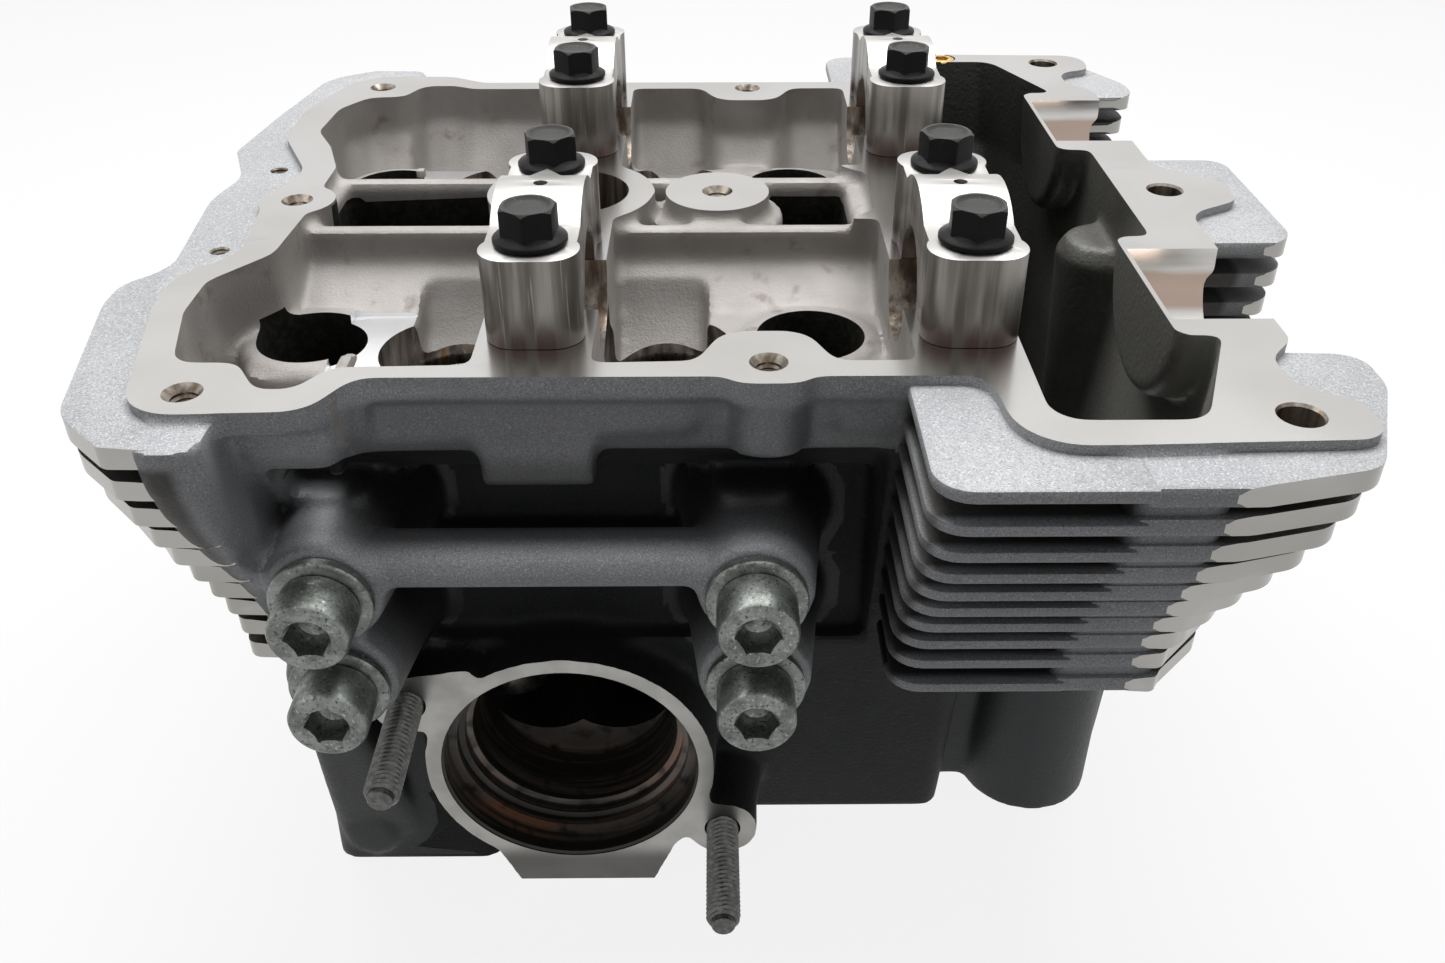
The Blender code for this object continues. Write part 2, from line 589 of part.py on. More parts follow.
def add_inner_bodies(tools):
    """What stands inside the bays and in the recesses."""
    floor = -FLOOR_DEPTH - 2 * MM
    half = BEARING_WALL / 2
    for name, x in (("left", 0.0), ("right", CAP_SPACING)):
        tools.add(box(f"bearing_wall_{name}", (x - half, FRONT_EDGE + 2 * MM, floor),
                      (x + half, REAR_EDGE - 2 * MM, OVERRUN)))
    left, right = 5 * MM - BAY_LEFT, CAP_SPACING - 1 * MM
    for name, low, high in (("front", -SPINE_HALF, RIB_WIDTH - SPINE_HALF),
                            ("rear", SPINE_HALF - RIB_WIDTH, SPINE_HALF)):
        tools.add(box(f"spine_rib_{name}", (left, low, floor), (right, high, -RIB_DROP)))
    for name, end in (("front", -1), ("rear", 1)):
        section = [(SPINE_HALF - 2 * MM, floor), (SPINE_HALF - 2 * MM, -SLOPE_DROP),
                   (SPINE_HALF + 0.5 * MM, -SLOPE_DROP), (SPINE_HALF + 5 * MM, -SLOPE_DROP - 4.5 * MM),
                   (SPINE_HALF + SLOPE_REACH, floor)]
        tools.add(mesh_of(f"spine_slope_{name}", [[(x, end * y, z) for y, z in section]
                                                  for x in (left + 1 * MM, right - 1 * MM)]))
    for name, low, high in (("left", left, CORE_POCKETS["left"][0]),
                            ("right", CORE_POCKETS["right"][1], right)):
        tools.add(box(f"spine_end_{name}", (low, 1 * MM - SPINE_HALF, floor - 1 * MM),
                      (high, SPINE_HALF - 1 * MM, -RIB_DROP - 0.5 * MM)))
    tools.add(prism("plug_ring", circle(0, 0, PLUG_RING / 2, WIDE_SIDES), floor, OVERRUN))
    tools.add(prism("centre_boss", circle(CENTRE_BOSS_X, 0, CENTRE_BOSS / 2), floor, OVERRUN))
    tools.add(prism("left_boss", circle(7 * MM - BAY_LEFT, -5 * MM, LEFT_BOSS / 2), floor, OVERRUN))
    tools.add(barrel("tunnel_bulge", (TUNNEL_RIGHT + 1.5 * MM, 0, -TUNNEL_NECK), (0, 0, 1),
                     [(0, 5 * MM), (TUNNEL_NECK - 12 * MM, 10 * MM)]))
    for cam, sign in CAMS.items():
        tools.add(barrel(f"{cam}_notch_ring", (TUNNEL_RIGHT - 5 * MM, sign * CAM_OFFSET, 0), (1, 0, 0),
                         [(0, NOTCH_RADIUS + 5 * MM), (9 * MM, NOTCH_RADIUS + 6 * MM)], WIDE_SIDES))
    for side in (-1, 1):
        for depth in (SCREW_HIGH, SCREW_LOW):
            tools.add(barrel("screw_boss", (side * SCREW_X, -SCREW_FACE, -depth), (0, 1, 0),
                             [(0, SCREW_BOSS / 2), (SCREW_LENGTH + 10 * MM, SCREW_BOSS / 2 + 1 * MM)]))
    tools.add(box("cross_bar", (-SCREW_X, -SCREW_FACE + 2 * MM, -SCREW_HIGH + 1 * MM),
                  (SCREW_X, FRONT_EDGE + RECESS_IN + 2 * MM, -SCREW_HIGH + 11 * MM)))
    radius = PORT_RING / 2
    for face, end in ((EXHAUST_FACE, -1), (INTAKE_FACE, 1)):
        tools.add(barrel("port_ring", (0, end * (face + OVERRUN), -PORT_DEPTH), (0, -end, 0),
                         [(0, radius), (face - 40 * MM, radius + 2 * MM)], WIDE_SIDES))
    foot = -HEAD_HEIGHT - OVERRUN
    tab = [(-16 * MM, foot), (-21 * MM, foot + 12 * MM), (-21 * MM, foot + 30 * MM),
           (21 * MM, foot + 30 * MM), (21 * MM, foot + 12 * MM), (16 * MM, foot)]
    tools.add(mesh_of("port_tab", [[(x, y, z) for x, z in tab]
                                   for y in (-EXHAUST_FACE - OVERRUN, -50 * MM)]))
    for x, z in exhaust_studs():
        tools.add(barrel("stud_ear", (x, -EXHAUST_FACE - OVERRUN, z), (0, 1, 0),
                         [(0, EXHAUST_STUD_THREAD), (30 * MM, EXHAUST_STUD_THREAD + 3 * MM)]))


# ---------------------------------------------------------------- casting, as it is machined

def exhaust_studs():
    turn = math.radians(30)
    across = EXHAUST_STUD_REACH * math.cos(turn)
    down = EXHAUST_STUD_REACH * math.sin(turn)
    return [(-across, down - PORT_DEPTH), (across, -down - PORT_DEPTH)]


def cap_places():
    """(name, x, y) of each camshaft cap's middle."""
    return [(f"{cam}_cam_cap_{side}", x, sign * CAM_OFFSET)
            for cam, sign in CAMS.items() for side, x in (("left", 0.0), ("right", CAP_SPACING))]


def valve_radius(cam):
    return (INTAKE_VALVE if cam == "intake" else EXHAUST_VALVE) / 2


def throat_radius(cam):
    return valve_radius(cam) - THROAT_STEP


def port_stations(cam, side):
    """Centres, directions and radii along a port's branch, from the valve to the common bore."""
    sign = CAMS[cam]
    away = Vector((0, sign * math.sin(VALVE_TILT), math.cos(VALVE_TILT)))
    seat = Vector((side * VALVE_SPREAD, sign * CAM_OFFSET, 0)) - away * SEAT_DISTANCE
    face = EXHAUST_FACE if cam == "exhaust" else INTAKE_FACE
    start = seat + away * (SEAT_HEIGHT - 1 * MM)
    mouth = Vector((side * 9 * MM, sign * (face + 1 * MM - PORT_STRAIGHT), -PORT_DEPTH))
    pull = 16 * MM
    throat = throat_radius(cam)
    stations = []
    for step in range(6):
        along = step / 5
        first, second = start + away * pull, mouth - Vector((0, sign * pull, 0))
        rest = 1 - along
        centre = (rest ** 3 * start + 3 * rest ** 2 * along * first + 3 * rest * along ** 2 * second
                  + along ** 3 * mouth)
        heading = (rest ** 2 * (first - start) + 2 * rest * along * (second - first)
                   + along ** 2 * (mouth - second))
        stations.append((centre, heading.normalized(), throat + along * 1.5 * MM))
    return stations


def add_valve_bores(tools, cam, side, axis):
    """The bores on one valve's axis; the axis has its origin on the camshaft and points up."""
    up = (0, 0, 1)
    radius = valve_radius(cam)
    tools.add(barrel("tappet_bore", (0, 0, -SPRING_FLOOR), up,
                     [(0, TAPPET_BORE / 2), (SPRING_FLOOR - 10 * MM, TAPPET_BORE / 2)]), axis)
    tools.add(barrel("guide_bore", (0, 0, -SPRING_FLOOR - GUIDE_LENGTH), up,
                     [(0, GUIDE_OUTER / 2 + FIT), (GUIDE_LENGTH + 1 * MM, GUIDE_OUTER / 2 + FIT)]), axis)
    pocket = radius + SEAT_RIM + FIT
    tools.add(barrel("seat_bore", (0, 0, -SEAT_DISTANCE - 6 * MM), up,
                     [(0, pocket), (SEAT_HEIGHT + 6 * MM + FIT, pocket)]), axis)
    tools.add(mesh_of("port_branch", [ring_at(*station) for station in port_stations(cam, side)]))


def add_chamber(tools):
    """A pent roof whose two slopes are square to the valves."""
    slope = math.tan(VALVE_TILT)
    seat_y = CAM_OFFSET - SEAT_DISTANCE * math.sin(VALVE_TILT)
    ridge = -SEAT_DISTANCE * math.cos(VALVE_TILT) + seat_y * slope
    sides = 24
    turns = [2 * math.pi * step / sides for step in range(sides)]
    rim = [(CYLINDER_BORE / 2 * math.cos(turn), CYLINDER_BORE / 2 * math.sin(turn)) for turn in turns]
    roof = [(x, y, ridge - abs(y) * slope) for x, y in rim]
    build = bmesh.new()
    low = [build.verts.new((x, y, -HEAD_HEIGHT - OVERRUN)) for x, y in rim]
    high = [build.verts.new(point) for point in roof]
    for index in range(sides):
        after = (index + 1) % sides
        build.faces.new((low[index], low[after], high[after], high[index]))
    build.faces.new(low)
    build.faces.new(high[:sides // 2 + 1])
    build.faces.new(high[sides // 2:] + high[:1])
    bmesh.ops.recalc_face_normals(build, faces=build.faces)
    mesh = bpy.data.meshes.new("chamber")
    build.to_mesh(mesh)
    build.free()
    tools.add(mesh)


def add_port_faces(tools):
    """Each port's flange face, and the round mouth and bore that go in from it."""
    far = 60 * MM
    for name, face, sign in (("exhaust", EXHAUST_FACE, -1), ("intake", INTAKE_FACE, 1)):
        wide, narrow = SCREW_X + SCREW_BOSS, PORT_RING / 2 - 14 * MM
        foot = -HEAD_HEIGHT - 2 * OVERRUN
        top = exhaust_studs()[0][1] + EXHAUST_STUD_THREAD + 2.25 * MM
        crown = PORT_RING / 2 + 4 * MM - PORT_DEPTH
        side = [(-wide, foot), (-wide, top), (-narrow, top), (-narrow, crown),
                (narrow, crown), (narrow, top), (wide, top), (wide, foot)]
        tools.add(mesh_of(f"{name}_plane", [[(x, y, z) for x, z in side]
                                            for y in (sign * face, sign * (face + far))]))
        shelf = OVERRUN + PORT_STEP
        tools.add(barrel(f"{name}_mouth", (0, sign * (face + OVERRUN), -PORT_DEPTH), (0, -sign, 0),
                         [(0, PORT_MOUTH / 2), (shelf, PORT_MOUTH / 2), (shelf, PORT_BORE / 2),
                          (OVERRUN + PORT_STRAIGHT, PORT_BORE / 2 - 2 * MM)], WIDE_SIDES))


def add_cam_bearings(tools):
    along = (1, 0, 0)
    reach = CAP_WIDTH / 2 + 4.5 * MM
    for cam, sign in CAMS.items():
        for x in (0.0, CAP_SPACING):
            tools.add(barrel(f"{cam}_cam_bore", (x - reach, sign * CAM_OFFSET, 0), along,
                             [(0, CAM_BORE / 2), (2 * reach, CAM_BORE / 2)], WIDE_SIDES))
        tools.add(barrel(f"{cam}_notch", (TUNNEL_RIGHT - 6 * MM, sign * CAM_OFFSET, 0), along,
                         [(0, NOTCH_RADIUS), (60 * MM, NOTCH_RADIUS)], WIDE_SIDES))
    thread, counterbore = CAP_BOLT_THREAD / 2 + FIT, DOWEL_OUTER / 2 + FIT
    depth = CAP_BOLT_DEPTH + 1.5 * MM
    for _, x, y in cap_places():
        for reach in (-CAP_BOLT_REACH, CAP_BOLT_REACH):
            tools.add(barrel("cap_bolt_hole", (x, y + reach, -depth), (0, 0, 1),
                             [(0, thread), (depth - DOWEL_HALF - FIT, thread),
                              (depth - DOWEL_HALF - FIT, counterbore), (depth + OVERRUN, counterbore)]))


def add_plug_and_stud_bores(tools):
    up = (0, 0, 1)
    tools.add(barrel("plug_bore", (0, 0, -PLUG_SEAT - PLUG_REACH), up,
                     [(0, PLUG_THREAD / 2), (PLUG_REACH, PLUG_THREAD / 2),
                      (PLUG_REACH, PLUG_WELL / 2 - 2 * MM),
                      (PLUG_SEAT + PLUG_REACH + OVERRUN, PLUG_WELL / 2)], WIDE_SIDES))
    low = HEAD_HEIGHT - WELL_DEPTH + OVERRUN
    for x in (-STUD_X, STUD_X):
        for y in (-STUD_Y, STUD_Y):
            tools.add(barrel("stud_well", (x, y, -HEAD_HEIGHT - OVERRUN), up,
                             [(0, STUD_HOLE / 2), (low, STUD_HOLE / 2), (low, WELL_BORE / 2),
                              (HEAD_HEIGHT - 0.5 * FLOOR_DEPTH, WELL_BORE / 2)]))


def add_threaded_holes(tools):
    inward, up = (0, 1, 0), (0, 0, 1)
    screw, stud = SCREW_THREAD / 2 + FIT, EXHAUST_STUD_THREAD / 2 + FIT
    for side in (-1, 1):
        for depth in (SCREW_HIGH, SCREW_LOW):
            tools.add(barrel("screw_hole", (side * SCREW_X, -SCREW_FACE - OVERRUN, -depth), inward,
                             [(0, screw), (SCREW_LENGTH + 3 * MM, screw)]))
    for x, z in exhaust_studs():
        tools.add(barrel("exhaust_stud_hole", (x, -EXHAUST_FACE - OVERRUN, z), inward,
                         [(0, stud), (EXHAUST_STUD_INSIDE + OVERRUN + 1 * MM, stud)]))
    for x, y, width in cover_holes():
        tools.add(barrel("cover_hole", (x, y, -COVER_DEPTH), up,
                         [(0, width / 2), (COVER_DEPTH + OVERRUN, width / 2)], 10))
    x, y = gallery_place()
    shelf = COVER_DEPTH - GALLERY_DEPTH - FIT
    tools.add(barrel("gallery_hole", (x, y, -COVER_DEPTH), up,
                     [(0, GALLERY_BORE / 4), (shelf, GALLERY_BORE / 4), (shelf, GALLERY_BORE / 2 + FIT),
                      (COVER_DEPTH + OVERRUN, GALLERY_BORE / 2 + FIT)]))


def add_machining(tools):
    far = 2.5 * FIN_RIGHT
    tools.add(box("cover_plane", (-far, -far, 0), (far, far, far)))
    tools.add(box("deck_plane", (-far, -far, -HEAD_HEIGHT - far), (far, far, -HEAD_HEIGHT)))
    add_port_faces(tools)
    add_cam_bearings(tools)
    add_plug_and_stud_bores(tools)
    add_threaded_holes(tools)
    add_chamber(tools)


def cover_holes():
    """(x, y, width) of the holes in the cover face: threaded ones, then the plain ones in the ears."""
    left = -BAY_LEFT
    threaded = [(left + 10.5 * MM, FRONT_EDGE - 5 * MM), (COLUMN_X, FRONT_EDGE + 5.5 * MM),
                (left + 7 * MM, -5 * MM), (left + 9 * MM, REAR_EDGE - 4 * MM),
                (COLUMN_X, REAR_EDGE - 5.5 * MM), (CENTRE_BOSS_X, 0.0)]
    ears = [(RIGHT_EDGE - 8.5 * MM, 10 * MM - TUNNEL_EDGE), (RIGHT_EDGE - 1.5 * MM, 0.0),
            (RIGHT_EDGE - 8.5 * MM, TUNNEL_EDGE - 10 * MM)]
    return [(x, y, COVER_HOLE) for x, y in threaded] + [(x, y, EAR_HOLE) for x, y in ears]


def gallery_place():
    return TUNNEL_LEFT + 13 * MM, TUNNEL_EDGE - 4.5 * MM


# ---------------------------------------------------------------- pieces

def make_casting(frame, axes, material):
    stages = [(Tools("outer_bodies", frame), "UNION"), (Tools("recesses", frame), "DIFFERENCE"),
              (Tools("inner_bodies", frame), "UNION"), (Tools("machining", frame), "DIFFERENCE")]
    outer, recesses, inner, machining = [tools for tools, _ in stages]
    housing = prism("head_casting", cover_outline(), -FLANGE_THICK, OVERRUN)
    casting = piece("head_casting", housing, material, frame)
    add_outer_bodies(outer)
    add_recesses(recesses)
    add_inner_bodies(inner)
    add_machining(machining)
    for (cam, side_name), axis in axes.items():
        add_valve_bores(machining, cam, SIDE_NAMES[side_name], axis)
    for tools, operation in stages:
        tools.apply_to(casting, operation)


def make_caps(frame, material):
    half, reach, top = CAP_WIDTH / 2, CAP_BOLT_REACH + CAP_END, CAP_HEIGHT + CAP_CROWN
    mesh = prism("cam_cap", block(-half, half, -reach, reach), FIT / 2, CAP_HEIGHT)
    along, up = (1, 0, 0), (0, 0, 1)
    dowel, bolt = DOWEL_OUTER / 2 + FIT, CAP_BOLT_THREAD / 2 + FIT
    for name, x, y in cap_places():
        cap = piece(name, mesh, material, frame, (x, y, 0))
        crown = Tools(f"{name}_crown", cap)
        crown.add(barrel("crown", (-half, 0, 0), along, [(0, top), (CAP_WIDTH, top)], 28))
        crown.apply_to(cap, "UNION")
        cuts = Tools(f"{name}_cuts", cap)
        cuts.add(box("foot", (-half - OVERRUN, -2 * reach, -2 * top),
                     (half + OVERRUN, 2 * reach, FIT / 2)))
        cuts.add(barrel("bore", (-half - OVERRUN, 0, 0), along,
                        [(0, CAM_BORE / 2), (CAP_WIDTH + 2 * OVERRUN, CAM_BORE / 2)], WIDE_SIDES))
        shelf = DOWEL_HALF + FIT + OVERRUN
        for place in (-CAP_BOLT_REACH, CAP_BOLT_REACH):
            cuts.add(barrel("bolt_hole", (0, place, -OVERRUN), up,
                            [(0, dowel), (shelf, dowel), (shelf, bolt), (CAP_HEIGHT + 2 * OVERRUN, bolt)]))
        cuts.apply_to(cap, "DIFFERENCE")


def make_cap_bolts(frame, bolt_metal, dowel_metal):
    foot, brim, top = FIT - CAP_HEIGHT - CAP_BOLT_DEPTH, CAP_BOLT_BRIM, CAP_BOLT_HEAD
    bolt_mesh = mesh_of("cap_bolt", [
        round_ring(foot, CAP_BOLT_THREAD - 1 * MM), round_ring(foot + 1 * MM, CAP_BOLT_THREAD),
        round_ring(FIT, CAP_BOLT_THREAD), round_ring(FIT, CAP_BOLT_FLANGE),
        round_ring(brim, CAP_BOLT_FLANGE), hexagon(brim + 0.8 * MM, CAP_BOLT_HEX),
        hexagon(top - 0.5 * MM, CAP_BOLT_HEX), hexagon(top, CAP_BOLT_HEX - 1 * MM),
        round_ring(top - 0.8 * MM, 0.6 * CAP_BOLT_HEX)])
    inner, outer = CAP_BOLT_THREAD / 2 + FIT, DOWEL_OUTER / 2
    dowel_mesh = sleeve("cap_dowel", [(inner, -DOWEL_HALF), (outer, -DOWEL_HALF),
                                      (outer, DOWEL_HALF), (inner, DOWEL_HALF)])
    for name, x, y in cap_places():
        cam, side = name.split("_")[0], name.split("_")[-1]
        for place, reach in (("front", -CAP_BOLT_REACH), ("rear", CAP_BOLT_REACH)):
            piece(f"{cam}_cap_bolt_{side}_{place}", bolt_mesh, bolt_metal, frame,
                  (x, y + reach, CAP_HEIGHT))
            piece(f"{cam}_cap_dowel_{side}_{place}", dowel_mesh, dowel_metal, frame, (x, y + reach, 0))


def make_side_screws(frame, material):
    head, foot = SCREW_HEAD_HEIGHT, -WASHER_THICK - FIT - SCREW_LENGTH
    screw_mesh = mesh_of("side_screw", [
        round_ring(foot, SCREW_THREAD - 1.5 * MM), round_ring(foot + 1.2 * MM, SCREW_THREAD),
        round_ring(FIT, SCREW_THREAD), round_ring(FIT, SCREW_HEAD),
        round_ring(head - 0.8 * MM, SCREW_HEAD), round_ring(head, SCREW_HEAD - 1.6 * MM),
        hexagon(head, SCREW_KEY), hexagon(head - SCREW_KEY_DEPTH, SCREW_KEY)])
    inner, outer = SCREW_THREAD / 2 + FIT, WASHER_OUTER / 2
    washer_mesh = sleeve("side_washer", [(inner, -WASHER_THICK), (outer, -WASHER_THICK),
                                         (outer, 0), (inner, 0)])
    face = SCREW_FACE + WASHER_THICK + FIT
    turn = (math.radians(90), 0, 0)
    for side, sign in SIDE_NAMES.items():
        for level, depth in (("upper", SCREW_HIGH), ("lower", SCREW_LOW)):
            spot = (sign * SCREW_X, -face, -depth)
            piece(f"side_screw_{level}_{side}", screw_mesh, material, frame, spot, turn)
            piece(f"side_washer_{level}_{side}", washer_mesh, material, frame, spot, turn)


def make_exhaust_studs(frame, material):
    width, tip = EXHAUST_STUD_THREAD, EXHAUST_STUD_OUTSIDE
    mesh = mesh_of("exhaust_stud", [
        round_ring(-EXHAUST_STUD_INSIDE, width - 1.5 * MM), round_ring(1 * MM - EXHAUST_STUD_INSIDE, width),
        round_ring(tip - 2 * MM, width), round_ring(tip - 1.5 * MM, width - 2 * MM),
        round_ring(tip, width - 2.5 * MM)])
    turn = (math.radians(90), 0, 0)
    for name, (x, z) in zip(SIDE_NAMES, exhaust_studs()):
        piece(f"exhaust_stud_{name}", mesh, material, frame, (x, -EXHAUST_FACE, z), turn)


def make_gallery_plug(frame, material):
    width = GALLERY_BORE
    mesh = mesh_of("plug", [
        round_ring(-GALLERY_DEPTH, width - 1 * MM), round_ring(-GALLERY_DEPTH + 0.5 * MM, width),
        round_ring(-0.5 * MM, width), round_ring(0, width - 0.8 * MM),
        hexagon(0, 0.5 * width), hexagon(-2.5 * MM, 0.5 * width)])
    piece("oil_gallery_plug", mesh, material, frame, (*gallery_place(), 0))


def spring_mesh(foot, top):
    """Wire coiled about Z from one end to the other, with four sides."""
    per_turn, corners = 9, 4
    low, high = foot + SPRING_WIRE / 2, top - SPRING_WIRE / 2
    upward = Vector((0, 0, 1))
    around = [2 * math.pi * (corner + 0.5) / corners for corner in range(corners)]
    rings = []
    steps = round(SPRING_TURNS * per_turn)
    for step in range(steps + 1):
        turn = 2 * math.pi * step / per_turn
        outward = Vector((math.cos(turn), math.sin(turn), 0))
        climb = low + (high - low) * step / steps
        centre = outward * (SPRING_COIL / 2) + upward * climb
        rings.append([centre + SPRING_WIRE / 2 * (outward * math.cos(angle) + upward * math.sin(angle))
                      for angle in around])
    return mesh_of("valve_spring", rings)


def make_valve_train(axes, metals):
    stem, tip = STEM / 2, -VALVE_TIP
    floor = -SPRING_FLOOR
    collar_top = tip - 3 * MM
    collar_foot = collar_top - COLLET_LENGTH
    for (cam, side), axis in axes.items():
        radius, throat = valve_radius(cam), throat_radius(cam)
        seat, chamfer = -SEAT_DISTANCE, 2 * MM
        head = seat - 2.2 * MM
        rise = radius - chamfer - stem
        piece(f"{cam}_valve_{side}", spindle("valve", [
            (radius - 0.4 * MM, head), (radius, head + 0.4 * MM), (radius, seat - 0.6 * MM),
            (radius - chamfer, seat + chamfer - 0.6 * MM), (stem + 0.35 * rise, seat + 0.3 * rise),
            (stem + 0.08 * rise, seat + 0.75 * rise), (stem, seat + 1.15 * rise),
            (stem, tip - 0.5 * MM), (stem - 0.5 * MM, tip)]), metals["valve"], axis)
        piece(f"{cam}_valve_seat_{side}", sleeve("valve_seat", [
            (throat, seat + SEAT_HEIGHT), (throat, seat + radius - throat + FIT),
            (radius + FIT, seat), (radius + SEAT_RIM, seat), (radius + SEAT_RIM, seat + SEAT_HEIGHT)]),
            metals["seat"], axis)
        bore, outer = stem + RUNNING_GAP, GUIDE_OUTER / 2
        guide_top = floor + GUIDE_RISE
        guide_foot = guide_top - GUIDE_LENGTH
        piece(f"{cam}_valve_guide_{side}", sleeve("valve_guide", [
            (bore, guide_foot), (outer, guide_foot), (outer, guide_top), (bore, guide_top)]),
            metals["guide"], axis)
        piece(f"{cam}_stem_seal_{side}", sleeve("stem_seal", [
            (bore, guide_top + FIT), (outer, guide_top + FIT), (outer, guide_top + SEAL_HEIGHT),
            (bore, guide_top + SEAL_HEIGHT)]), metals["seal"], axis)
        piece(f"{cam}_collet_{side}", sleeve("collet", [
            (stem + FIT / 2, collar_foot), (COLLET_FOOT / 2, collar_foot), (COLLET_TOP / 2, collar_top),
            (stem + FIT / 2, collar_top)]), metals["valve"], axis)
        brim = collar_top - 0.5 * MM
        under = brim - RETAINER_THICK
        skirt = SPRING_COIL / 2 - SPRING_WIRE / 2 - 0.8 * MM
        piece(f"{cam}_spring_retainer_{side}", sleeve("retainer", [
            (COLLET_FOOT / 2 + FIT, collar_foot), (skirt, collar_foot), (skirt, under),
            (RETAINER_OUTER / 2, under), (RETAINER_OUTER / 2, brim), (COLLET_TOP / 2 + FIT, brim)]),
            metals["retainer"], axis)
        piece(f"{cam}_valve_spring_{side}", spring_mesh(floor + FIT, under - FIT), metals["spring"], axis)


def main():
    for old in list(bpy.data.objects):
        bpy.data.objects.remove(old, do_unlink=True)
    middle = ((FIN_LEFT - FIN_RIGHT) / 2, (FIN_FRONT - FIN_REAR) / 2, HEAD_HEIGHT)
    frame = empty("head_frame", middle)
    axes = {}
    for cam, sign in CAMS.items():
        for side, hand in SIDE_NAMES.items():
            spot = (hand * VALVE_SPREAD, sign * CAM_OFFSET, 0)
            axes[cam, side] = empty(f"{cam}_valve_axis_{side}", spot, frame, -sign * VALVE_TILT)

    make_casting(frame, axes, metal("painted_aluminium", (0.42, 0.44, 0.46), 0.5, 0.6))
    make_caps(frame, metal("machined_aluminium", (0.78, 0.77, 0.75), 0.3))
    make_cap_bolts(frame, metal("black_oxide_steel", (0.02, 0.02, 0.022), 0.45),
                   metal("dowel_steel", (0.6, 0.6, 0.6), 0.3))
    make_side_screws(frame, metal("zinc_plated_steel", (0.45, 0.47, 0.42), 0.35))
    make_exhaust_studs(frame, metal("plain_steel", (0.35, 0.35, 0.34), 0.45))
    make_gallery_plug(frame, metal("brass", (0.75, 0.55, 0.25), 0.35))
    make_valve_train(axes, {
        "valve": metal("valve_steel", (0.55, 0.54, 0.53), 0.3),
        "seat": metal("seat_steel", (0.4, 0.38, 0.36), 0.4),
        "guide": metal("guide_bronze", (0.6, 0.45, 0.28), 0.4),
        "seal": metal("seal_rubber", (0.04, 0.08, 0.05), 0.7, 0.0),
        "retainer": metal("retainer_steel", (0.5, 0.5, 0.52), 0.35),
        "spring": metal("spring_steel", (0.3, 0.31, 0.33), 0.35),
    })


main()
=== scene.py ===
import math

import bmesh
import bpy
from mathutils import Matrix, Vector


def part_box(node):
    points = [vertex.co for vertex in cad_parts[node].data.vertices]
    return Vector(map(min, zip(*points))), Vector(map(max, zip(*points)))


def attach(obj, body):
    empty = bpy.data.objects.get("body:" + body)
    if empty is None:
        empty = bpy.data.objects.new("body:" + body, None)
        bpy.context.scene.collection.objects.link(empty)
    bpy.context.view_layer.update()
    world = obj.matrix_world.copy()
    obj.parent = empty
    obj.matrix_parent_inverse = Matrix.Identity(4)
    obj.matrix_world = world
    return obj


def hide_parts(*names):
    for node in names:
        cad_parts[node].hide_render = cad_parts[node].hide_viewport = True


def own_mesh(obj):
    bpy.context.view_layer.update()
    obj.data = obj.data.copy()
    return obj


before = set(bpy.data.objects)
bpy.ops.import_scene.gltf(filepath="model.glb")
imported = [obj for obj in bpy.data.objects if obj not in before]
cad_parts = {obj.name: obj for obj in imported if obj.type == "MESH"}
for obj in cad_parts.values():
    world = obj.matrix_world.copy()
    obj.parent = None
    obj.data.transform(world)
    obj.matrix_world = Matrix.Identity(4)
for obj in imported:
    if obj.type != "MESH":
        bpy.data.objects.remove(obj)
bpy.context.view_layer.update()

# Pieces are drawn in millimetres about the cylinder's axis, with the cover face at z = 0
# and the camshafts along x. settle() then takes each one to its place in metres.
mm = 0.001
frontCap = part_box("exhaust_cam_cap_left")
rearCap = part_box("intake_cam_cap_left")
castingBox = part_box("head_casting")
home = Vector(((frontCap[0][0] + frontCap[1][0]) / 2,
               (frontCap[0][1] + rearCap[1][1]) / 2,
               castingBox[1][2]))

fins = {
    "count": 9, "pitch": 7.3, "plateTop": -2.0, "plateThick": 4.5, "thick": 4.0, "thinThick": 2.5,
    "taper": 26.0, "left": -91.0, "right": 166.0, "front": 126.0, "rear": 120.0, "webRight": -54.0,
    "edge": 1.1, "plateEdge": 1.4, "split": 106.0,
}


# Materials

class Amount:
    # A shader value that adds and multiplies like a number
    def __init__(self, nodes, socket):
        self.nodes = nodes
        self.socket = socket

    def worked(self, operation, first, second):
        return self.nodes.add("ShaderNodeMath", {"operation": operation}, {0: first, 1: second})

    def __add__(self, other):
        return self.worked("ADD", self, other)

    def __radd__(self, other):
        return self.worked("ADD", other, self)

    def __sub__(self, other):
        return self.worked("SUBTRACT", self, other)

    def __rsub__(self, other):
        return self.worked("SUBTRACT", other, self)

    def __mul__(self, other):
        return self.worked("MULTIPLY", self, other)

    def __rmul__(self, other):
        return self.worked("MULTIPLY", other, self)


class Nodes:
    # A tree of shader nodes
    def __init__(self, owner):
        owner.use_nodes = True
        self.tree = owner.node_tree

    def add(self, kind, settings, inputs, output=0):
        made = self.tree.nodes.new(kind)
        for key, value in settings.items():
            setattr(made, key, value)
        for key, value in inputs.items():
            if isinstance(value, Amount):
                self.tree.links.new(value.socket, made.inputs[key])
            else:
                made.inputs[key].default_value = value
        return Amount(self, made.outputs[output])

    def feed(self, node, name, value):
        self.tree.links.new(value.socket, self.tree.nodes[node].inputs[name])


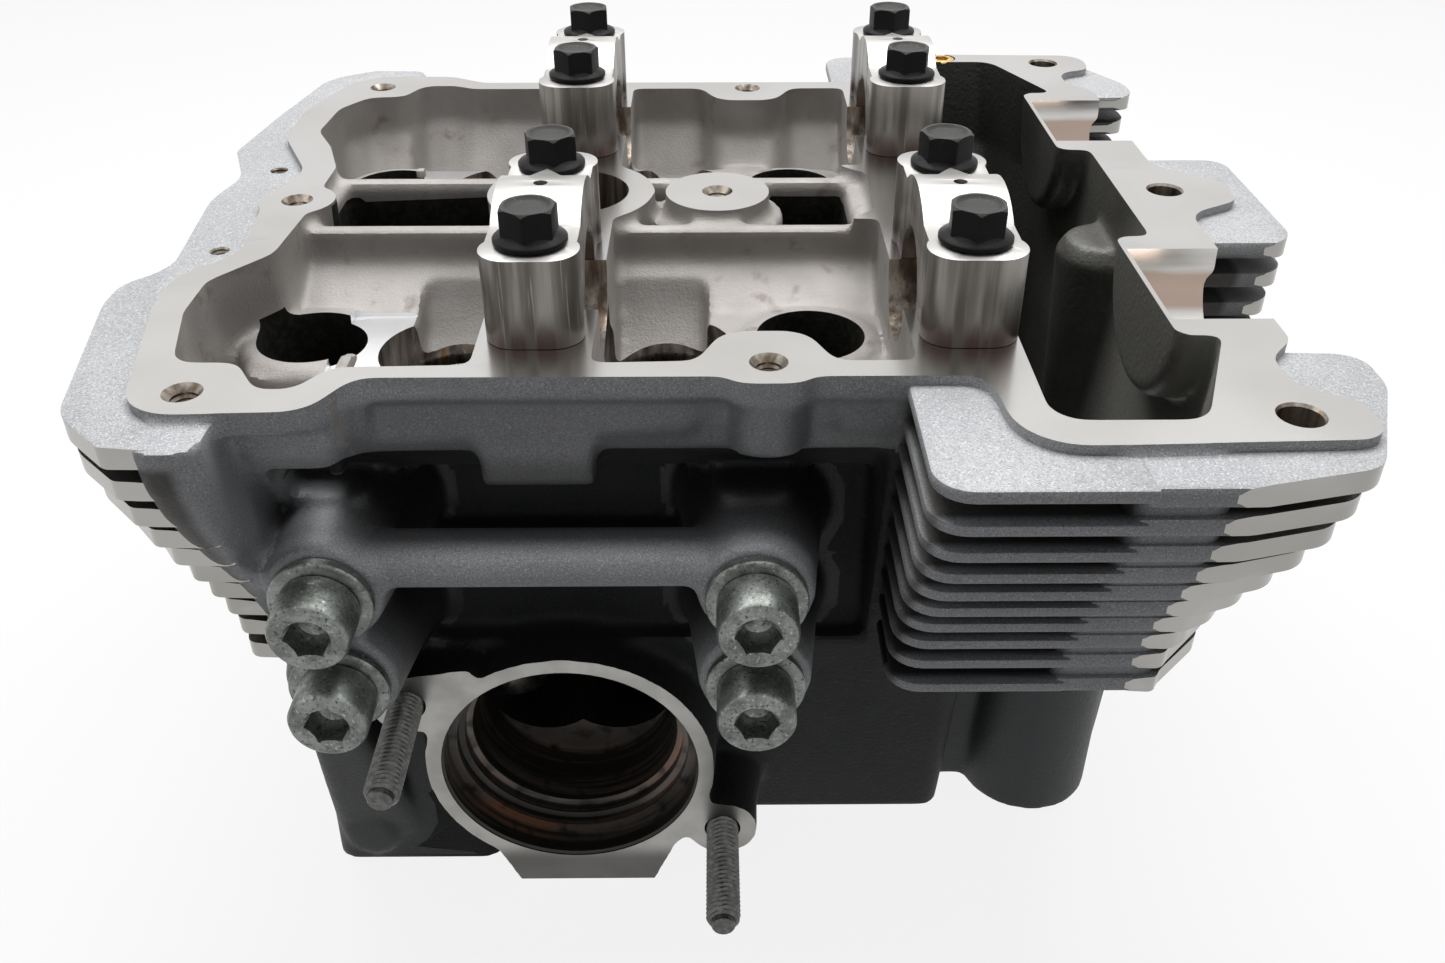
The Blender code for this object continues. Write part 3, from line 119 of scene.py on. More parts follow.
class Finish(Nodes):
    # One procedural material
    def __init__(self, name, metallic, roughness, specular=0.5):
        self.material = bpy.data.materials.new(name)
        super().__init__(self.material)
        shader = self.tree.nodes["Principled BSDF"]
        shader.inputs["Metallic"].default_value = metallic
        shader.inputs["Roughness"].default_value = roughness
        shader.inputs["Specular IOR Level"].default_value = specular
        self.place = self.add("ShaderNodeTexCoord", {}, {}, "Object")

    def grain(self, size, detail=2.0, stretch=(1, 1, 1), turn=(0, 0, 0), lumpy=0.5):
        # Noise whose features are about size millimetres across
        mapping = {"Vector": self.place, "Scale": stretch, "Rotation": turn}
        spot = self.add("ShaderNodeMapping", {}, mapping)
        inputs = {"Vector": spot, "Scale": 1000 / size, "Detail": detail, "Roughness": lumpy}
        return self.add("ShaderNodeTexNoise", {}, inputs)

    def between(self, value, low, high):
        # 0 below low, 1 above high, smooth between
        settings = {"interpolation_type": "SMOOTHSTEP"}
        return self.add("ShaderNodeMapRange", settings, {"Value": value, "From Min": low, "From Max": high})

    def along(self, axis):
        # A coordinate in millimetres: 0 is x, 1 is y and 2 is the height above the ground
        return self.add("ShaderNodeSeparateXYZ", {}, {0: self.place}, axis) * 1000

    def height(self):
        return self.along(2)

    def sideways(self):
        # Along x from the cylinder's axis
        return self.along(0) - home.x * 1000

    def back(self):
        # Along y from the cylinder's axis
        return self.along(1) - home.y * 1000

    def fromMiddle(self):
        # The distance from the axis to the front or to the rear
        return self.add("ShaderNodeMath", {"operation": "ABSOLUTE"}, {0: self.back()})

    def least(self, first, *others):
        for other in others:
            first = first.worked("MINIMUM", first, other)
        return first

    def mixed(self, mask, first, second):
        return self.add("ShaderNodeMix", {"data_type": "RGBA"}, {0: mask, 6: first, 7: second}, 2)

    def blend(self, value, low, high, first, second):
        # The first colour where the value is at low, and the second where it is at high
        return self.mixed(self.between(value, low, high), first, second)

    def done(self, colour, roughness, bump, bumpDepth):
        # Joins it all to the shader; the bump stands bumpDepth millimetres high
        self.feed("Principled BSDF", "Base Color", colour)
        self.feed("Principled BSDF", "Roughness", roughness)
        inputs = {"Height": bump, "Distance": bumpDepth * mm, "Strength": 1.0}
        self.feed("Principled BSDF", "Normal", self.add("ShaderNodeBump", {}, inputs))
        return self.material


def tone(red, green, blue):
    return (red, green, blue, 1)


finShade = {"foot": 80, "top": 146, "lip": 1.0, "deep": 3.6, "cornerReach": 92}


def finGapShade(finish):
    # 1 deep between the cooling fins, 0 at their outer edges and away from them
    taper = fins["taper"]
    inset = finish.between(finish.height(), finShade["foot"], finShade["top"]) * -taper + taper
    back = finish.back()
    front = back + fins["front"] - 1 - inset
    rear = fins["rear"] - 1 - inset - back
    sideways = finish.sideways()
    right = fins["right"] - 8.7 - 0.7 * inset - sideways
    corner = 0.91 * right + 0.41 * (finShade["cornerReach"] - 0.3 * inset - finish.fromMiddle())
    left = sideways - fins["left"] - 0.5 * inset
    edge = finish.least(finish.least(front, rear), finish.least(right, corner), left)
    deep = finish.between(edge, finShade["lip"], finShade["deep"])
    level = finish.between(finish.height(), 76, 79) * finish.between(finish.height(), 145.5, 143)
    return deep * level * (finish.between(sideways, 69, 72) + finish.between(sideways, -57, -60))


def paintedCasting():
    finish = Finish("silver_paint_on_casting", 0.15, 0.5, 0.35)
    sand = finish.grain(0.9, 3, lumpy=0.6)
    fleck = finish.grain(0.32, 1)
    cloud = finish.grain(26, 3)
    base = finish.blend(cloud, 0.35, 0.7, tone(0.34, 0.346, 0.356), tone(0.395, 0.4, 0.41))
    base = finish.blend(fleck, 0.56, 0.74, base, tone(0.58, 0.585, 0.6))
    base = finish.blend(fleck, 0.46, 0.3, base, tone(0.25, 0.255, 0.265))
    # Painted shade: the panels, the recesses, the block's core and the gaps between the fins darken inwards,
    # where shade falls
    fromMiddle = finish.fromMiddle()
    sideways = finish.sideways()
    inside = finish.between(fromMiddle, 97, 80) * finish.between(finish.height(), 133, 127)
    core = inside * finish.between(sideways, 100, 90) * finish.between(sideways, -45, -30)
    panel = finish.between(fromMiddle, 97, 93) * finish.between(finish.height(), 146, 144)
    base = finish.mixed(panel * 0.4, base, tone(0.1, 0.1, 0.105))
    base = finish.mixed(inside * 0.93, base, tone(0.03, 0.032, 0.034))
    base = finish.mixed(core * 0.75, base, tone(0.006, 0.006, 0.006))
    base = finish.mixed(finGapShade(finish) * 0.94, base, tone(0.036, 0.032, 0.028))
    return finish.done(base, 0.38 + 0.3 * sand, sand * 0.7 + fleck * 0.3, 0.2)


def bareCasting():
    finish = Finish("bare_cast_aluminium", 0.25, 0.5)
    sand = finish.grain(0.7, 4, lumpy=0.65)
    cloud = finish.grain(18, 3)
    stain = finish.grain(7, 4)
    base = finish.blend(cloud, 0.3, 0.7, tone(0.28, 0.262, 0.246), tone(0.365, 0.345, 0.328))
    base = finish.blend(stain, 0.58, 0.75, base, tone(0.21, 0.185, 0.16))
    return finish.done(base, 0.42 + 0.25 * sand, sand, 0.16)


def shadedTunnelCasting():
    # Painted shade: the bare casting made darker for the tunnel, darkest behind and on the left; painted
    # light on the wall near the front right
    finish = Finish("tunnel_casting_painted_shade", 0.3, 0.45)
    sand = finish.grain(1.2, 3)
    cloud = finish.grain(30, 3)
    shadow = tone(0.016, 0.016, 0.014)
    back = finish.back()
    sideways = finish.sideways()
    base = finish.blend(cloud, 0.3, 0.7, tone(0.07, 0.069, 0.061), tone(0.13, 0.128, 0.115))
    base = finish.mixed(finish.between(sideways, 112, 97) * 0.92, base, shadow)
    base = finish.mixed(finish.between(back, 25, 65) * 0.85, base, shadow)
    front = finish.between(sideways, 118, 129) * finish.between(back, -5, -35)
    base = finish.mixed(front * 0.75, base, tone(0.34, 0.335, 0.31))
    return finish.done(base, 0.34 + 0.25 * sand, sand, 0.18)


def milledFace(name, first, second, rough):
    # Flat milled faces, with faint curved tool lines
    finish = Finish(name, 1.0, rough)
    lay = finish.grain(0.35, 2, stretch=(0.02, 1, 1), turn=(0, 0, 0.5))
    cloud = finish.grain(40, 2)
    rub = finish.grain(9, 3, stretch=(0.4, 1, 1))
    base = finish.blend(cloud, 0.3, 0.7, first, second)
    base = finish.mixed(finish.between(rub, 0.62, 0.8) * 0.35, base, tone(0.44, 0.455, 0.48))
    return finish.done(base, rough - 0.01 + 0.02 * lay, lay, 0.0012)


def portFlange():
    # Machined round the port, kept darker as painted shade on this upright face, and darkened further as
    # painted shade on the tab below it
    finish = Finish("milled_port_flange", 1.0, 0.34)
    lay = finish.grain(0.35, 2, stretch=(1, 1, 0.03))
    cloud = finish.grain(9, 3)
    base = finish.blend(cloud, 0.3, 0.7, tone(0.27, 0.265, 0.25), tone(0.36, 0.355, 0.34))
    tab = finish.between(finish.height(), 14, 7)
    base = finish.mixed(tab * 0.8, base, tone(0.06, 0.059, 0.056))
    return finish.done(base, 0.3 + 0.1 * lay, lay, 0.004)


def boredFace():
    # Bores: turned, with dark and brown upright streaks
    finish = Finish("bored_aluminium", 0.8, 0.3)
    lay = finish.grain(0.5, 2, stretch=(1, 1, 0.03))
    streak = finish.grain(3.2, 3, stretch=(1, 1, 0.06))
    base = finish.blend(streak, 0.35, 0.68, tone(0.1, 0.072, 0.05), tone(0.46, 0.42, 0.37))
    base = finish.blend(streak, 0.62, 0.7, base, tone(0.42, 0.24, 0.11))
    return finish.done(base, 0.2 + 0.2 * lay, lay, 0.015)


def sootedPort():
    # The exhaust way: nearly black, with copper-brown heat rings
    finish = Finish("sooted_port", 0.55, 0.35)
    ring = finish.grain(1.6, 3, stretch=(0.03, 1, 0.03))
    soot = finish.grain(5, 3)
    base = finish.blend(ring, 0.42, 0.62, tone(0.028, 0.026, 0.024), tone(0.15, 0.13, 0.115))
    base = finish.blend(ring, 0.6, 0.72, base, tone(0.3, 0.15, 0.085))
    base = finish.blend(soot, 0.5, 0.75, base, tone(0.02, 0.018, 0.016))
    return finish.done(base, 0.26 + 0.3 * soot, ring, 0.02)


def darkHollow():
    # Deep cast hollows that no light reaches: painted shade, near black and rough
    finish = Finish("painted_shade_hollow", 0.0, 0.6, 0.15)
    sand = finish.grain(1.5, 3)
    base = finish.blend(sand, 0.4, 0.7, tone(0.008, 0.008, 0.007), tone(0.022, 0.021, 0.018))
    return finish.done(base, 0.5 + 0.25 * sand, sand, 0.2)


def shadedRecessCasting():
    # Painted shade for the recesses and the lower block of the silver-painted casting: near black and dull
    finish = Finish("recess_painted_shade", 0.0, 0.55, 0.12)
    sand = finish.grain(0.9, 3, lumpy=0.6)
    cloud = finish.grain(22, 3)
    base = finish.blend(cloud, 0.3, 0.7, tone(0.022, 0.023, 0.024), tone(0.042, 0.043, 0.045))
    base = finish.mixed(finish.between(sand, 0.55, 0.75) * 0.5, base, tone(0.08, 0.08, 0.082))
    return finish.done(base, 0.42 + 0.3 * sand, sand, 0.2)


def notchFace():
    # Milled saddles beside the tunnel, with a copper-brown band of burnt oil
    finish = Finish("milled_notch", 1.0, 0.24)
    lay = finish.grain(0.35, 2, stretch=(0.02, 1, 1))
    streak = finish.grain(5, 3, stretch=(0.15, 1, 1))
    height = finish.height() + 2 * streak
    band = finish.between(height, 138, 139.5) * finish.between(height, 146.5, 145)
    base = finish.blend(streak, 0.3, 0.7, tone(0.5, 0.49, 0.47), tone(0.62, 0.61, 0.59))
    base = finish.mixed(band * 0.8, base, tone(0.34, 0.235, 0.18))
    return finish.done(base, 0.2 + 0.06 * lay, lay, 0.002)


def capAluminium():
    # Milled upright: brushed, with brown upright streaks, kept darker than the cap's tops as painted shade;
    # the dark brown band at the foot is painted shade too
    finish = Finish("cam_cap_aluminium", 0.75, 0.36)
    lay = finish.grain(0.5, 2, stretch=(1, 1, 0.03))
    streak = finish.grain(3.4, 3, stretch=(1, 1, 0.05))
    low = 1 - finish.between(finish.height(), 150.5, 160)
    base = finish.blend(streak, 0.3, 0.7, tone(0.11, 0.1, 0.088), tone(0.32, 0.305, 0.285))
    base = finish.mixed(finish.between(lay, 0.6, 0.75) * 0.4, base, tone(0.5, 0.48, 0.45))
    brown = finish.between(streak + low * 0.3, 0.55, 0.8)
    base = finish.mixed(brown * low, base, tone(0.075, 0.05, 0.042))
    return finish.done(base, 0.26 + 0.22 * lay, lay, 0.02)


def blackBolt(name, first, second):
    finish = Finish(name, 0.0, 0.45, 0.11)
    speck = finish.grain(0.5, 2)
    base = finish.blend(speck, 0.6, 0.8, first, second)
    return finish.done(base, 0.34 + 0.2 * speck, speck, 0.03)


def zincSteel():
    finish = Finish("worn_zinc_steel", 0.75, 0.4)
    speck = finish.grain(0.75, 3, lumpy=0.7)
    cloud = finish.grain(4, 3)
    base = finish.blend(cloud, 0.32, 0.68, tone(0.14, 0.152, 0.14), tone(0.27, 0.286, 0.27))
    base = finish.blend(speck, 0.56, 0.66, base, tone(0.055, 0.055, 0.045))
    base = finish.blend(speck, 0.4, 0.32, base, tone(0.46, 0.475, 0.45))
    return finish.done(base, 0.26 + 0.3 * speck, speck, 0.05)


def dullSteel(name, first, second, size, metallic=0.9, rough=0.34):
    finish = Finish(name, metallic, rough)
    speck = finish.grain(size, 3, lumpy=0.6)
    base = finish.blend(speck, 0.35, 0.7, first, second)
    return finish.done(base, rough - 0.08 + 0.2 * speck, speck, 0.03)


paint = paintedCasting()
bareMetal = bareCasting()
tunnelMetal = shadedTunnelCasting()
milled = milledFace("milled_aluminium_face", tone(0.53, 0.515, 0.495), tone(0.6, 0.59, 0.575), 0.2)
# Painted shade: a darker copy of the milled aluminium, for the upright milled faces at the fins' ends
milledSideShaded = milledFace("milled_aluminium_side_shaded", tone(0.31, 0.3, 0.28), tone(0.39, 0.38, 0.36), 0.26)
milledPort = portFlange()
capTop = milledFace("milled_cap_top", tone(0.37, 0.362, 0.35), tone(0.45, 0.44, 0.426), 0.44)
landMetal = milledFace("milled_bore_land", tone(0.78, 0.78, 0.79), tone(0.86, 0.86, 0.87), 0.3)
bored = boredFace()
port = sootedPort()
hollow = darkHollow()
recessShade = shadedRecessCasting()
notchMetal = notchFace()
capMetal = capAluminium()
black = blackBolt("black_oxide_steel", tone(0.005, 0.005, 0.005), tone(0.02, 0.019, 0.018))
blackTop = blackBolt("worn_black_oxide_top", tone(0.05, 0.049, 0.047), tone(0.14, 0.136, 0.132))
zinc = zincSteel()
studMetal = dullSteel("dull_stud_steel", tone(0.085, 0.088, 0.08), tone(0.17, 0.172, 0.162), 1.4, 0.7, 0.42)
valveMetal = dullSteel("valve_steel", tone(0.3, 0.29, 0.28), tone(0.5, 0.48, 0.46), 1.5)
retainerMetal = dullSteel("turned_retainer_steel", tone(0.32, 0.32, 0.33), tone(0.5, 0.5, 0.51), 0.7)
springMetal = dullSteel("peened_spring_steel", tone(0.12, 0.12, 0.125), tone(0.26, 0.26, 0.27), 0.6)
seatMetal = dullSteel("sintered_seat_iron", tone(0.26, 0.24, 0.22), tone(0.42, 0.4, 0.37), 0.5)
guideMetal = dullSteel("guide_bronze", tone(0.42, 0.28, 0.14), tone(0.6, 0.43, 0.24), 1.2)
sealRubber = dullSteel("green_seal_rubber", tone(0.02, 0.05, 0.03), tone(0.04, 0.09, 0.055), 1.0, 0.0, 0.6)
brassMetal = dullSteel("plug_brass", tone(0.5, 0.32, 0.1), tone(0.72, 0.5, 0.2), 0.9)
print("materials made")


# Modelling helpers

def clearSelection():
    bpy.ops.object.select_all(action="DESELECT")


def pickOnly(piece):
    clearSelection()
    piece.select_set(True)
    bpy.context.view_layer.objects.active = piece


def softOutline(corners, steps=6):
    # A closed outline through (x, y, radius) corners, each turned by an arc
    points = []
    for index, (x, y, radius) in enumerate(corners):
        corner = Vector((x, y))
        before = Vector(corners[index - 1][:2]) - corner
        after = Vector(corners[(index + 1) % len(corners)][:2]) - corner
        half = before.angle(after) / 2
        tangent = min(radius / math.tan(half), before.length * 0.49, after.length * 0.49)
        if tangent < 0.05:
            points.append((x, y))
            continue
        start = corner + before.normalized() * tangent
        end = corner + after.normalized() * tangent
        bisector = (before.normalized() + after.normalized()).normalized()
        centre = corner + bisector * (tangent * math.tan(half) / math.sin(half))
        sweep = (start - centre).angle_signed(end - centre)
        for step in range(steps + 1):
            turned = Matrix.Rotation(-sweep * step / steps, 2) @ (start - centre)
            points.append(tuple(centre + turned))
    return points


def ringBody(name, rings, material):
    # A closed solid, extruded from its first ring of points through the others
    clearSelection()
    bpy.ops.mesh.primitive_circle_add(vertices=len(rings[0]), radius=1, fill_type="NGON")
    body = bpy.context.object
    body.name = name
    bpy.ops.object.mode_set(mode="EDIT")
    bpy.ops.mesh.select_all(action="SELECT")
    sheet = bmesh.from_edit_mesh(body.data)
    for vertex, point in zip(sheet.verts, rings[0]):
        vertex.co = point
    for ring in rings[1:]:
        bpy.ops.mesh.extrude_region_move(TRANSFORM_OT_translate={"value": (0, 0, 1)})
        sheet = bmesh.from_edit_mesh(body.data)
        fresh = [vertex for vertex in sheet.verts if vertex.select]
        for vertex, point in zip(fresh, ring):
            vertex.co = point
    bmesh.update_edit_mesh(body.data)
    bpy.ops.mesh.select_all(action="SELECT")
    bpy.ops.mesh.normals_make_consistent(inside=False)
    bpy.ops.object.mode_set(mode="OBJECT")
    body.data.materials.append(material)
    return body


def slab(name, outline, low, high, material):
    return ringBody(name, [[(x, y, z) for x, y in outline] for z in (low, high)], material)


def stack(name, material, *levels):
    # Levels are (height, outline), from one end to the other
    return ringBody(name, [[(x, y, z) for x, y in outline] for z, outline in levels], material)


def across(name, section, low, high, material):
    # A section of (y, z) points drawn along x
    return ringBody(name, [[(x, y, z) for y, z in section] for x in (low, high)], material)


def inward(name, section, low, high, material):
    # A section of (x, z) points drawn along y
    return ringBody(name, [[(x, y, z) for x, z in section] for y in (low, high)], material)


def brick(name, low, high, material):
    outline = [(low[0], low[1]), (high[0], low[1]), (high[0], high[1]), (low[0], high[1])]
    return slab(name, outline, low[2], high[2], material)


def pillow(xLow, xHigh, yLow, yHigh, radius=5.0, steps=4):
    return softOutline([(xLow, yLow, radius), (xLow, yHigh, radius), (xHigh, yHigh, radius),
                        (xHigh, yLow, radius)], steps)


def hoop(centre, direction, radius, sides):
    axis = Vector(direction).normalized()
    guide = Vector((1, 0, 0)) if abs(axis.x) < 0.9 else Vector((0, 1, 0))
    first = (guide - axis * guide.dot(axis)).normalized()
    second = axis.cross(first)
    points = []
    for step in range(sides):
        turn = 2 * math.pi * (step + 0.5) / sides
        points.append(Vector(centre) + radius * (first * math.cos(turn) + second * math.sin(turn)))
    return points


def turned(name, start, direction, stations, material, sides=48):
    # A solid turned about its axis: stations are (distance along it, radius)
    axis = Vector(direction).normalized()
    rings = [hoop(Vector(start) + axis * far, axis, radius, sides) for far, radius in stations]
    return ringBody(name, rings, material)


def upright(name, spot, stations, material, sides=48):
    return turned(name, spot, (0, 0, 1), stations, material, sides)


def lathe(name, stations, material, sides=48):
    return upright(name, (0, 0, 0), stations, material, sides)


def rearward(name, spot, stations, material, sides=48):
    return turned(name, spot, (0, 1, 0), stations, material, sides)


def straight(radius, length):
    return [(0, radius), (length, radius)]


def span(end, near, far):
    # The lower and the higher of two distances, to the front (-1) or to the rear (1)
    return sorted((end * near, end * far))


def disc(x, y, radius, sides=48):
    turns = [2 * math.pi * step / sides for step in range(sides)]
    return [(x + radius * math.cos(turn), y + radius * math.sin(turn)) for turn in turns]


def work(body, tools, operation, solver="MANIFOLD"):
    # Joins tools to a body or cuts them from it; new faces keep the tool's material
    shelf = bpy.data.collections.new("tools")
    bpy.context.scene.collection.children.link(shelf)
    for tool in tools:
        for old in list(tool.users_collection):
            old.objects.unlink(tool)
        shelf.objects.link(tool)
    boolean = body.modifiers.new("work", "BOOLEAN")
    boolean.operation = operation
    boolean.operand_type = "COLLECTION"
    boolean.collection = shelf
    boolean.solver = solver
    boolean.material_mode = "TRANSFER"
    pickOnly(body)
    bpy.ops.object.modifier_apply(modifier=boolean.name)
    for tool in tools:
        bpy.data.objects.remove(tool, do_unlink=True)
    bpy.data.collections.remove(shelf)


def softenEdges(body, width, angle=40):
    bevel = body.modifiers.new("edges", "BEVEL")
    bevel.width = width
    bevel.segments = 2
    bevel.limit_method = "ANGLE"
    bevel.angle_limit = math.radians(angle)
    pickOnly(body)
    bpy.ops.object.modifier_apply(modifier=bevel.name)


def settle(piece, nodes, angle=32, body="head"):
    # Takes a finished piece to its place in metres, in front of the CAD nodes it stands for
    pickOnly(piece)
    piece.location = home
    piece.scale = (mm, mm, mm)
    bpy.ops.object.transform_apply(location=True, rotation=True, scale=True)
    bpy.ops.object.shade_smooth_by_angle(angle=math.radians(angle))
    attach(piece, body)
    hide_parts(*nodes)


# The casting

casting = {
    "deck": -150.0, "flangeThick": 5.6, "floor": -24.0, "floorThick": 8.0, "recessIn": 23.0,
    "pocketFloor": -52.0, "camBore": 12.0, "gallery": (106, 111.5), "grain": 1.15, "softening": 6,
    "facesKept": 0.3,
}
cams = {"exhaust": -52.0, "intake": 52.0}
signs = {"exhaust": -1, "intake": 1}
bearings = {"left": 0.0, "right": 83.5}
valves = {"spread": 23.5, "tilt": math.radians(13), "springFloor": 72.0, "seat": 139.0, "bore": 15.0,
          "exhaust": 16.5, "intake": 18.5}
ports = {"height": -111.0, "exhaust": 82.0, "intake": 84.0}
# (x, y) seen from above, and (x, z) seen from the front
wellPlaces = [(x, y) for x in (-53.5, 55.5) for y in (-45, 45)]
studHoles = [(x, y) for x in (-55, 55) for y in (-45, 45)]
studPlaces = {"left": (-35.9, -90.3), "right": (35.9, -131.8)}
screwPlaces = {"sides": {"left": -42.5, "right": 42.5}, "rows": {"upper": -44.5, "lower": -67.0}}


def coverOutline():
    # The face that carries the valve cover, clockwise from the front left boss
    return softOutline([
        (-69.5, -104.5, 11), (-78.5, -62, 30), (-79.5, -47, 13), (-68.5, -37, 14), (-71.5, -12, 14),
        (-71.5, 2, 14), (-67.5, 14, 12), (-79.5, 40, 16), (-79.5, 62, 26), (-70.5, 94, 14), (-43.5, 93, 8),
        (-33.5, 87, 6), (85, 87, 5), (86.5, 116, 12), (150, 114, 7), (149, 99, 5), (139, 96, 8),
        (139, 85, 6), (145, 78, 5), (145, 16, 9), (159, 6, 6), (159, -7, 6), (145, -15, 9),
        (145, -78, 5), (139, -85, 6), (139, -96, 8), (149, -101, 5), (150, -114, 7), (86.5, -116, 12),
        (84.5, -91.5, 5), (53, -91.5, 6), (50, -94.2, 6), (39, -94.2, 6), (36, -91.5, 6),
        (-31.5, -91.5, 6), (-37.5, -103.5, 8),
    ])


def bayOutline(side, end):
    # Both bays together, moved outward by two distances
    left = -71.5 - side
    inner = -71.5 + side  # the bumps' inner ends move the other way
    front = -85.5 - end
    rear = 81 + end
    return softOutline([
        (left + 5, front, 5), (left, front + 21, 8), (left, -50, 6), (left + 10, -36, 8),
        (left + 11, -17, 4), (left + 11, 17, 4), (left + 6, 32, 8), (left, 44, 8), (left + 1, rear - 18, 8),
        (left + 7, rear - 8, 5), (left + 17, rear - 7, 4), (left + 21, rear + 3, 5),
        (inner + 30, rear + 3, 4), (inner + 36, rear, 4), (31, rear, 4), (36, rear - 11, 7),
        (52, rear - 11, 7), (57, rear, 4), (77, rear, 4), (77, front, 4), (57, front, 4),
        (52, front + 12, 7), (36, front + 12, 7),
        (31, front, 4), (inner + 35, front - 2, 5), (inner + 30, front - 10, 4), (left + 23, front - 10, 4),
        (left + 17, front, 5),
    ])


def tunnelOutline(right, reach, grow=0.0):
    left, right, reach = 93 - grow, right + grow, reach + grow
    return softOutline([(left, -reach, 6), (left, reach, 6), (right - 12, reach, 6), (right, 0.72 * reach, 8),
                        (right, -0.72 * reach, 8), (right - 12, -reach, 6)])


def finInset(level):
    # Each fin stands back from the one above: slowly at first, then more, then less
    share = level / fins["count"]
    return fins["taper"] * share * share * (3 - 2 * share)


def leftFin(level, grow=0.0):
    inset = finInset(level)
    reach = fins["left"] + 0.5 * inset - grow
    front = 13 - fins["front"] + inset
    rear = fins["rear"] - 13 - inset
    root = fins["webRight"] - 2
    corner = 0.55 * level
    return softOutline([
        (root, front, 0), (corner - 71, front + 1.2 - grow, 3), (reach + 9, front + 12, 14), (reach, -57, 24),
        (reach, -47, 13), (reach + 8, -39, 13), (reach + 4, 0, 30), (reach + 7, 15, 15), (reach, 34, 7),
        (reach + 3, 60, 40), (reach + 9, rear - 8, 22), (corner - 70, rear - 1 + grow, 3), (root, rear, 0),
    ])


def rightCornerFin(level, end, part, grow=0.0):
    # end is -1 at the front and 1 at the rear; the near part is the cast one beside the bays
    inset = finInset(level) + (1 if level else 0)
    reach = fins["right"] - 8 - 0.7 * inset + grow
    root = 78
    length = (fins["front"] if end < 0 else fins["rear"]) - inset - root
    split = fins["split"]
    if part == "near":
        corners = [(70, root, 0), (70, root + length + 0.4, 7), (split + 1, root + length + 0.4, 0.8),
                   (split + 1, root, 0)]
    else:
        corners = [
            (split - 1, root, 0), (split - 1, root + length - 0.4, 0), (120, root + length - 0.4, 3),
            (126, root + 0.97 * length + grow, 5), (reach - 12, root + 0.87 * length + grow, 8),
            (reach, root + 0.3 * length, 14), (reach, root + 1, 7), (137, root, 0),
        ]
    return softOutline([(x, end * y, radius) for x, y, radius in corners])


def rightMiddleFin(level, grow=0.0):
    reach = fins["right"] - 0.5 * finInset(level) + grow
    return softOutline([(136, -27, 0), (136, 27, 0), (reach, 27, 7), (reach, -27, 7)])


def finMiddle(level):
    return fins["plateTop"] - fins["plateThick"] / 2 - level * fins["pitch"]


def finHeights():
    # (number, bottom, top) of the top plate and of each fin below it
    rows = [(0, fins["plateTop"] - fins["plateThick"], fins["plateTop"])]
    for level in range(1, fins["count"] + 1):
        rows.append((level, finMiddle(level) - fins["thick"] / 2, finMiddle(level) + fins["thick"] / 2))
    return rows


# Height, right-hand wall and reach to the front and the rear
tunnelLevels = [(-153, 125, 38), (-100, 126, 41), (-78, 128, 68), (-24, 132, 104), (4, 132, 108)]


def rooms(grow):
    # The space of both bays and that of the chain tunnel, moved outward by a distance
    bays = stack("bay_space", bareMetal, (casting["floor"] - grow, bayOutline(grow - 1, grow - 12)),
                 (-10, bayOutline(grow, grow)), (4, bayOutline(grow, grow)))
    levels = [(z, tunnelOutline(right, reach, grow)) for z, right, reach in tunnelLevels]
    tunnel = stack("tunnel_space", tunnelMetal, *levels)
    return [bays, tunnel]


def makeFins():
    # Cast plates with soft edges; all but the thinner near ones are then milled to their outline
    made = []
    thin = (fins["thick"] - fins["thinThick"]) / 2
    for level, bottom, top in finHeights():
        edge = fins["edge"] if level else fins["plateEdge"]
        nearBottom = bottom + (thin if level else 2.2 * thin)
        nearTop = top - (thin if level else 0)
        plans = [(leftFin(level, 1.5), leftFin(level), bottom, top),
                 (rightMiddleFin(level, 1.5), rightMiddleFin(level), bottom, top)]
        for end in (-1, 1):
            near = rightCornerFin(level, end, "near")
            plans.append((near, near, nearBottom, nearTop))
            far = rightCornerFin(level, end, "far", 1.5)
            plans.append((far, rightCornerFin(level, end, "far"), bottom, top))
        for rough, trimmed, low, high in plans:
            fin = slab("fin", rough, low, high, paint)
            softenEdges(fin, edge)
            work(fin, [slab("trim", trimmed, low - 2, high + 2, milledSideShaded)], "INTERSECT")
            work(fin, rooms(1.5), "DIFFERENCE")
            made.append(fin)
    return made


def finWebs(end, edge):
    # The walls that the fins grow from, beside the block and at the tunnel's corner
    block = [(casting["deck"] - 1, pillow(-62.5, -36, *span(end, 30, 0.64 * edge)))]
    corner = []
    for level in reversed(range(fins["count"] + 1)):
        inset = finInset(level)
        height = finMiddle(level) + 0.5
        outline = pillow(-66 + 0.25 * inset, -54, *span(end, 30, edge - inset), 4)
        block.append((height if level else -2.2, outline))
        outline = pillow(103.5, 121 + 0.6 * level, *span(end, 70, edge + 10 - 0.6 - inset), 3)
        corner.append((height if level else -2.6, outline))
    return [stack("fin_web", paint, *block), stack("corner_web", paint, *corner)]


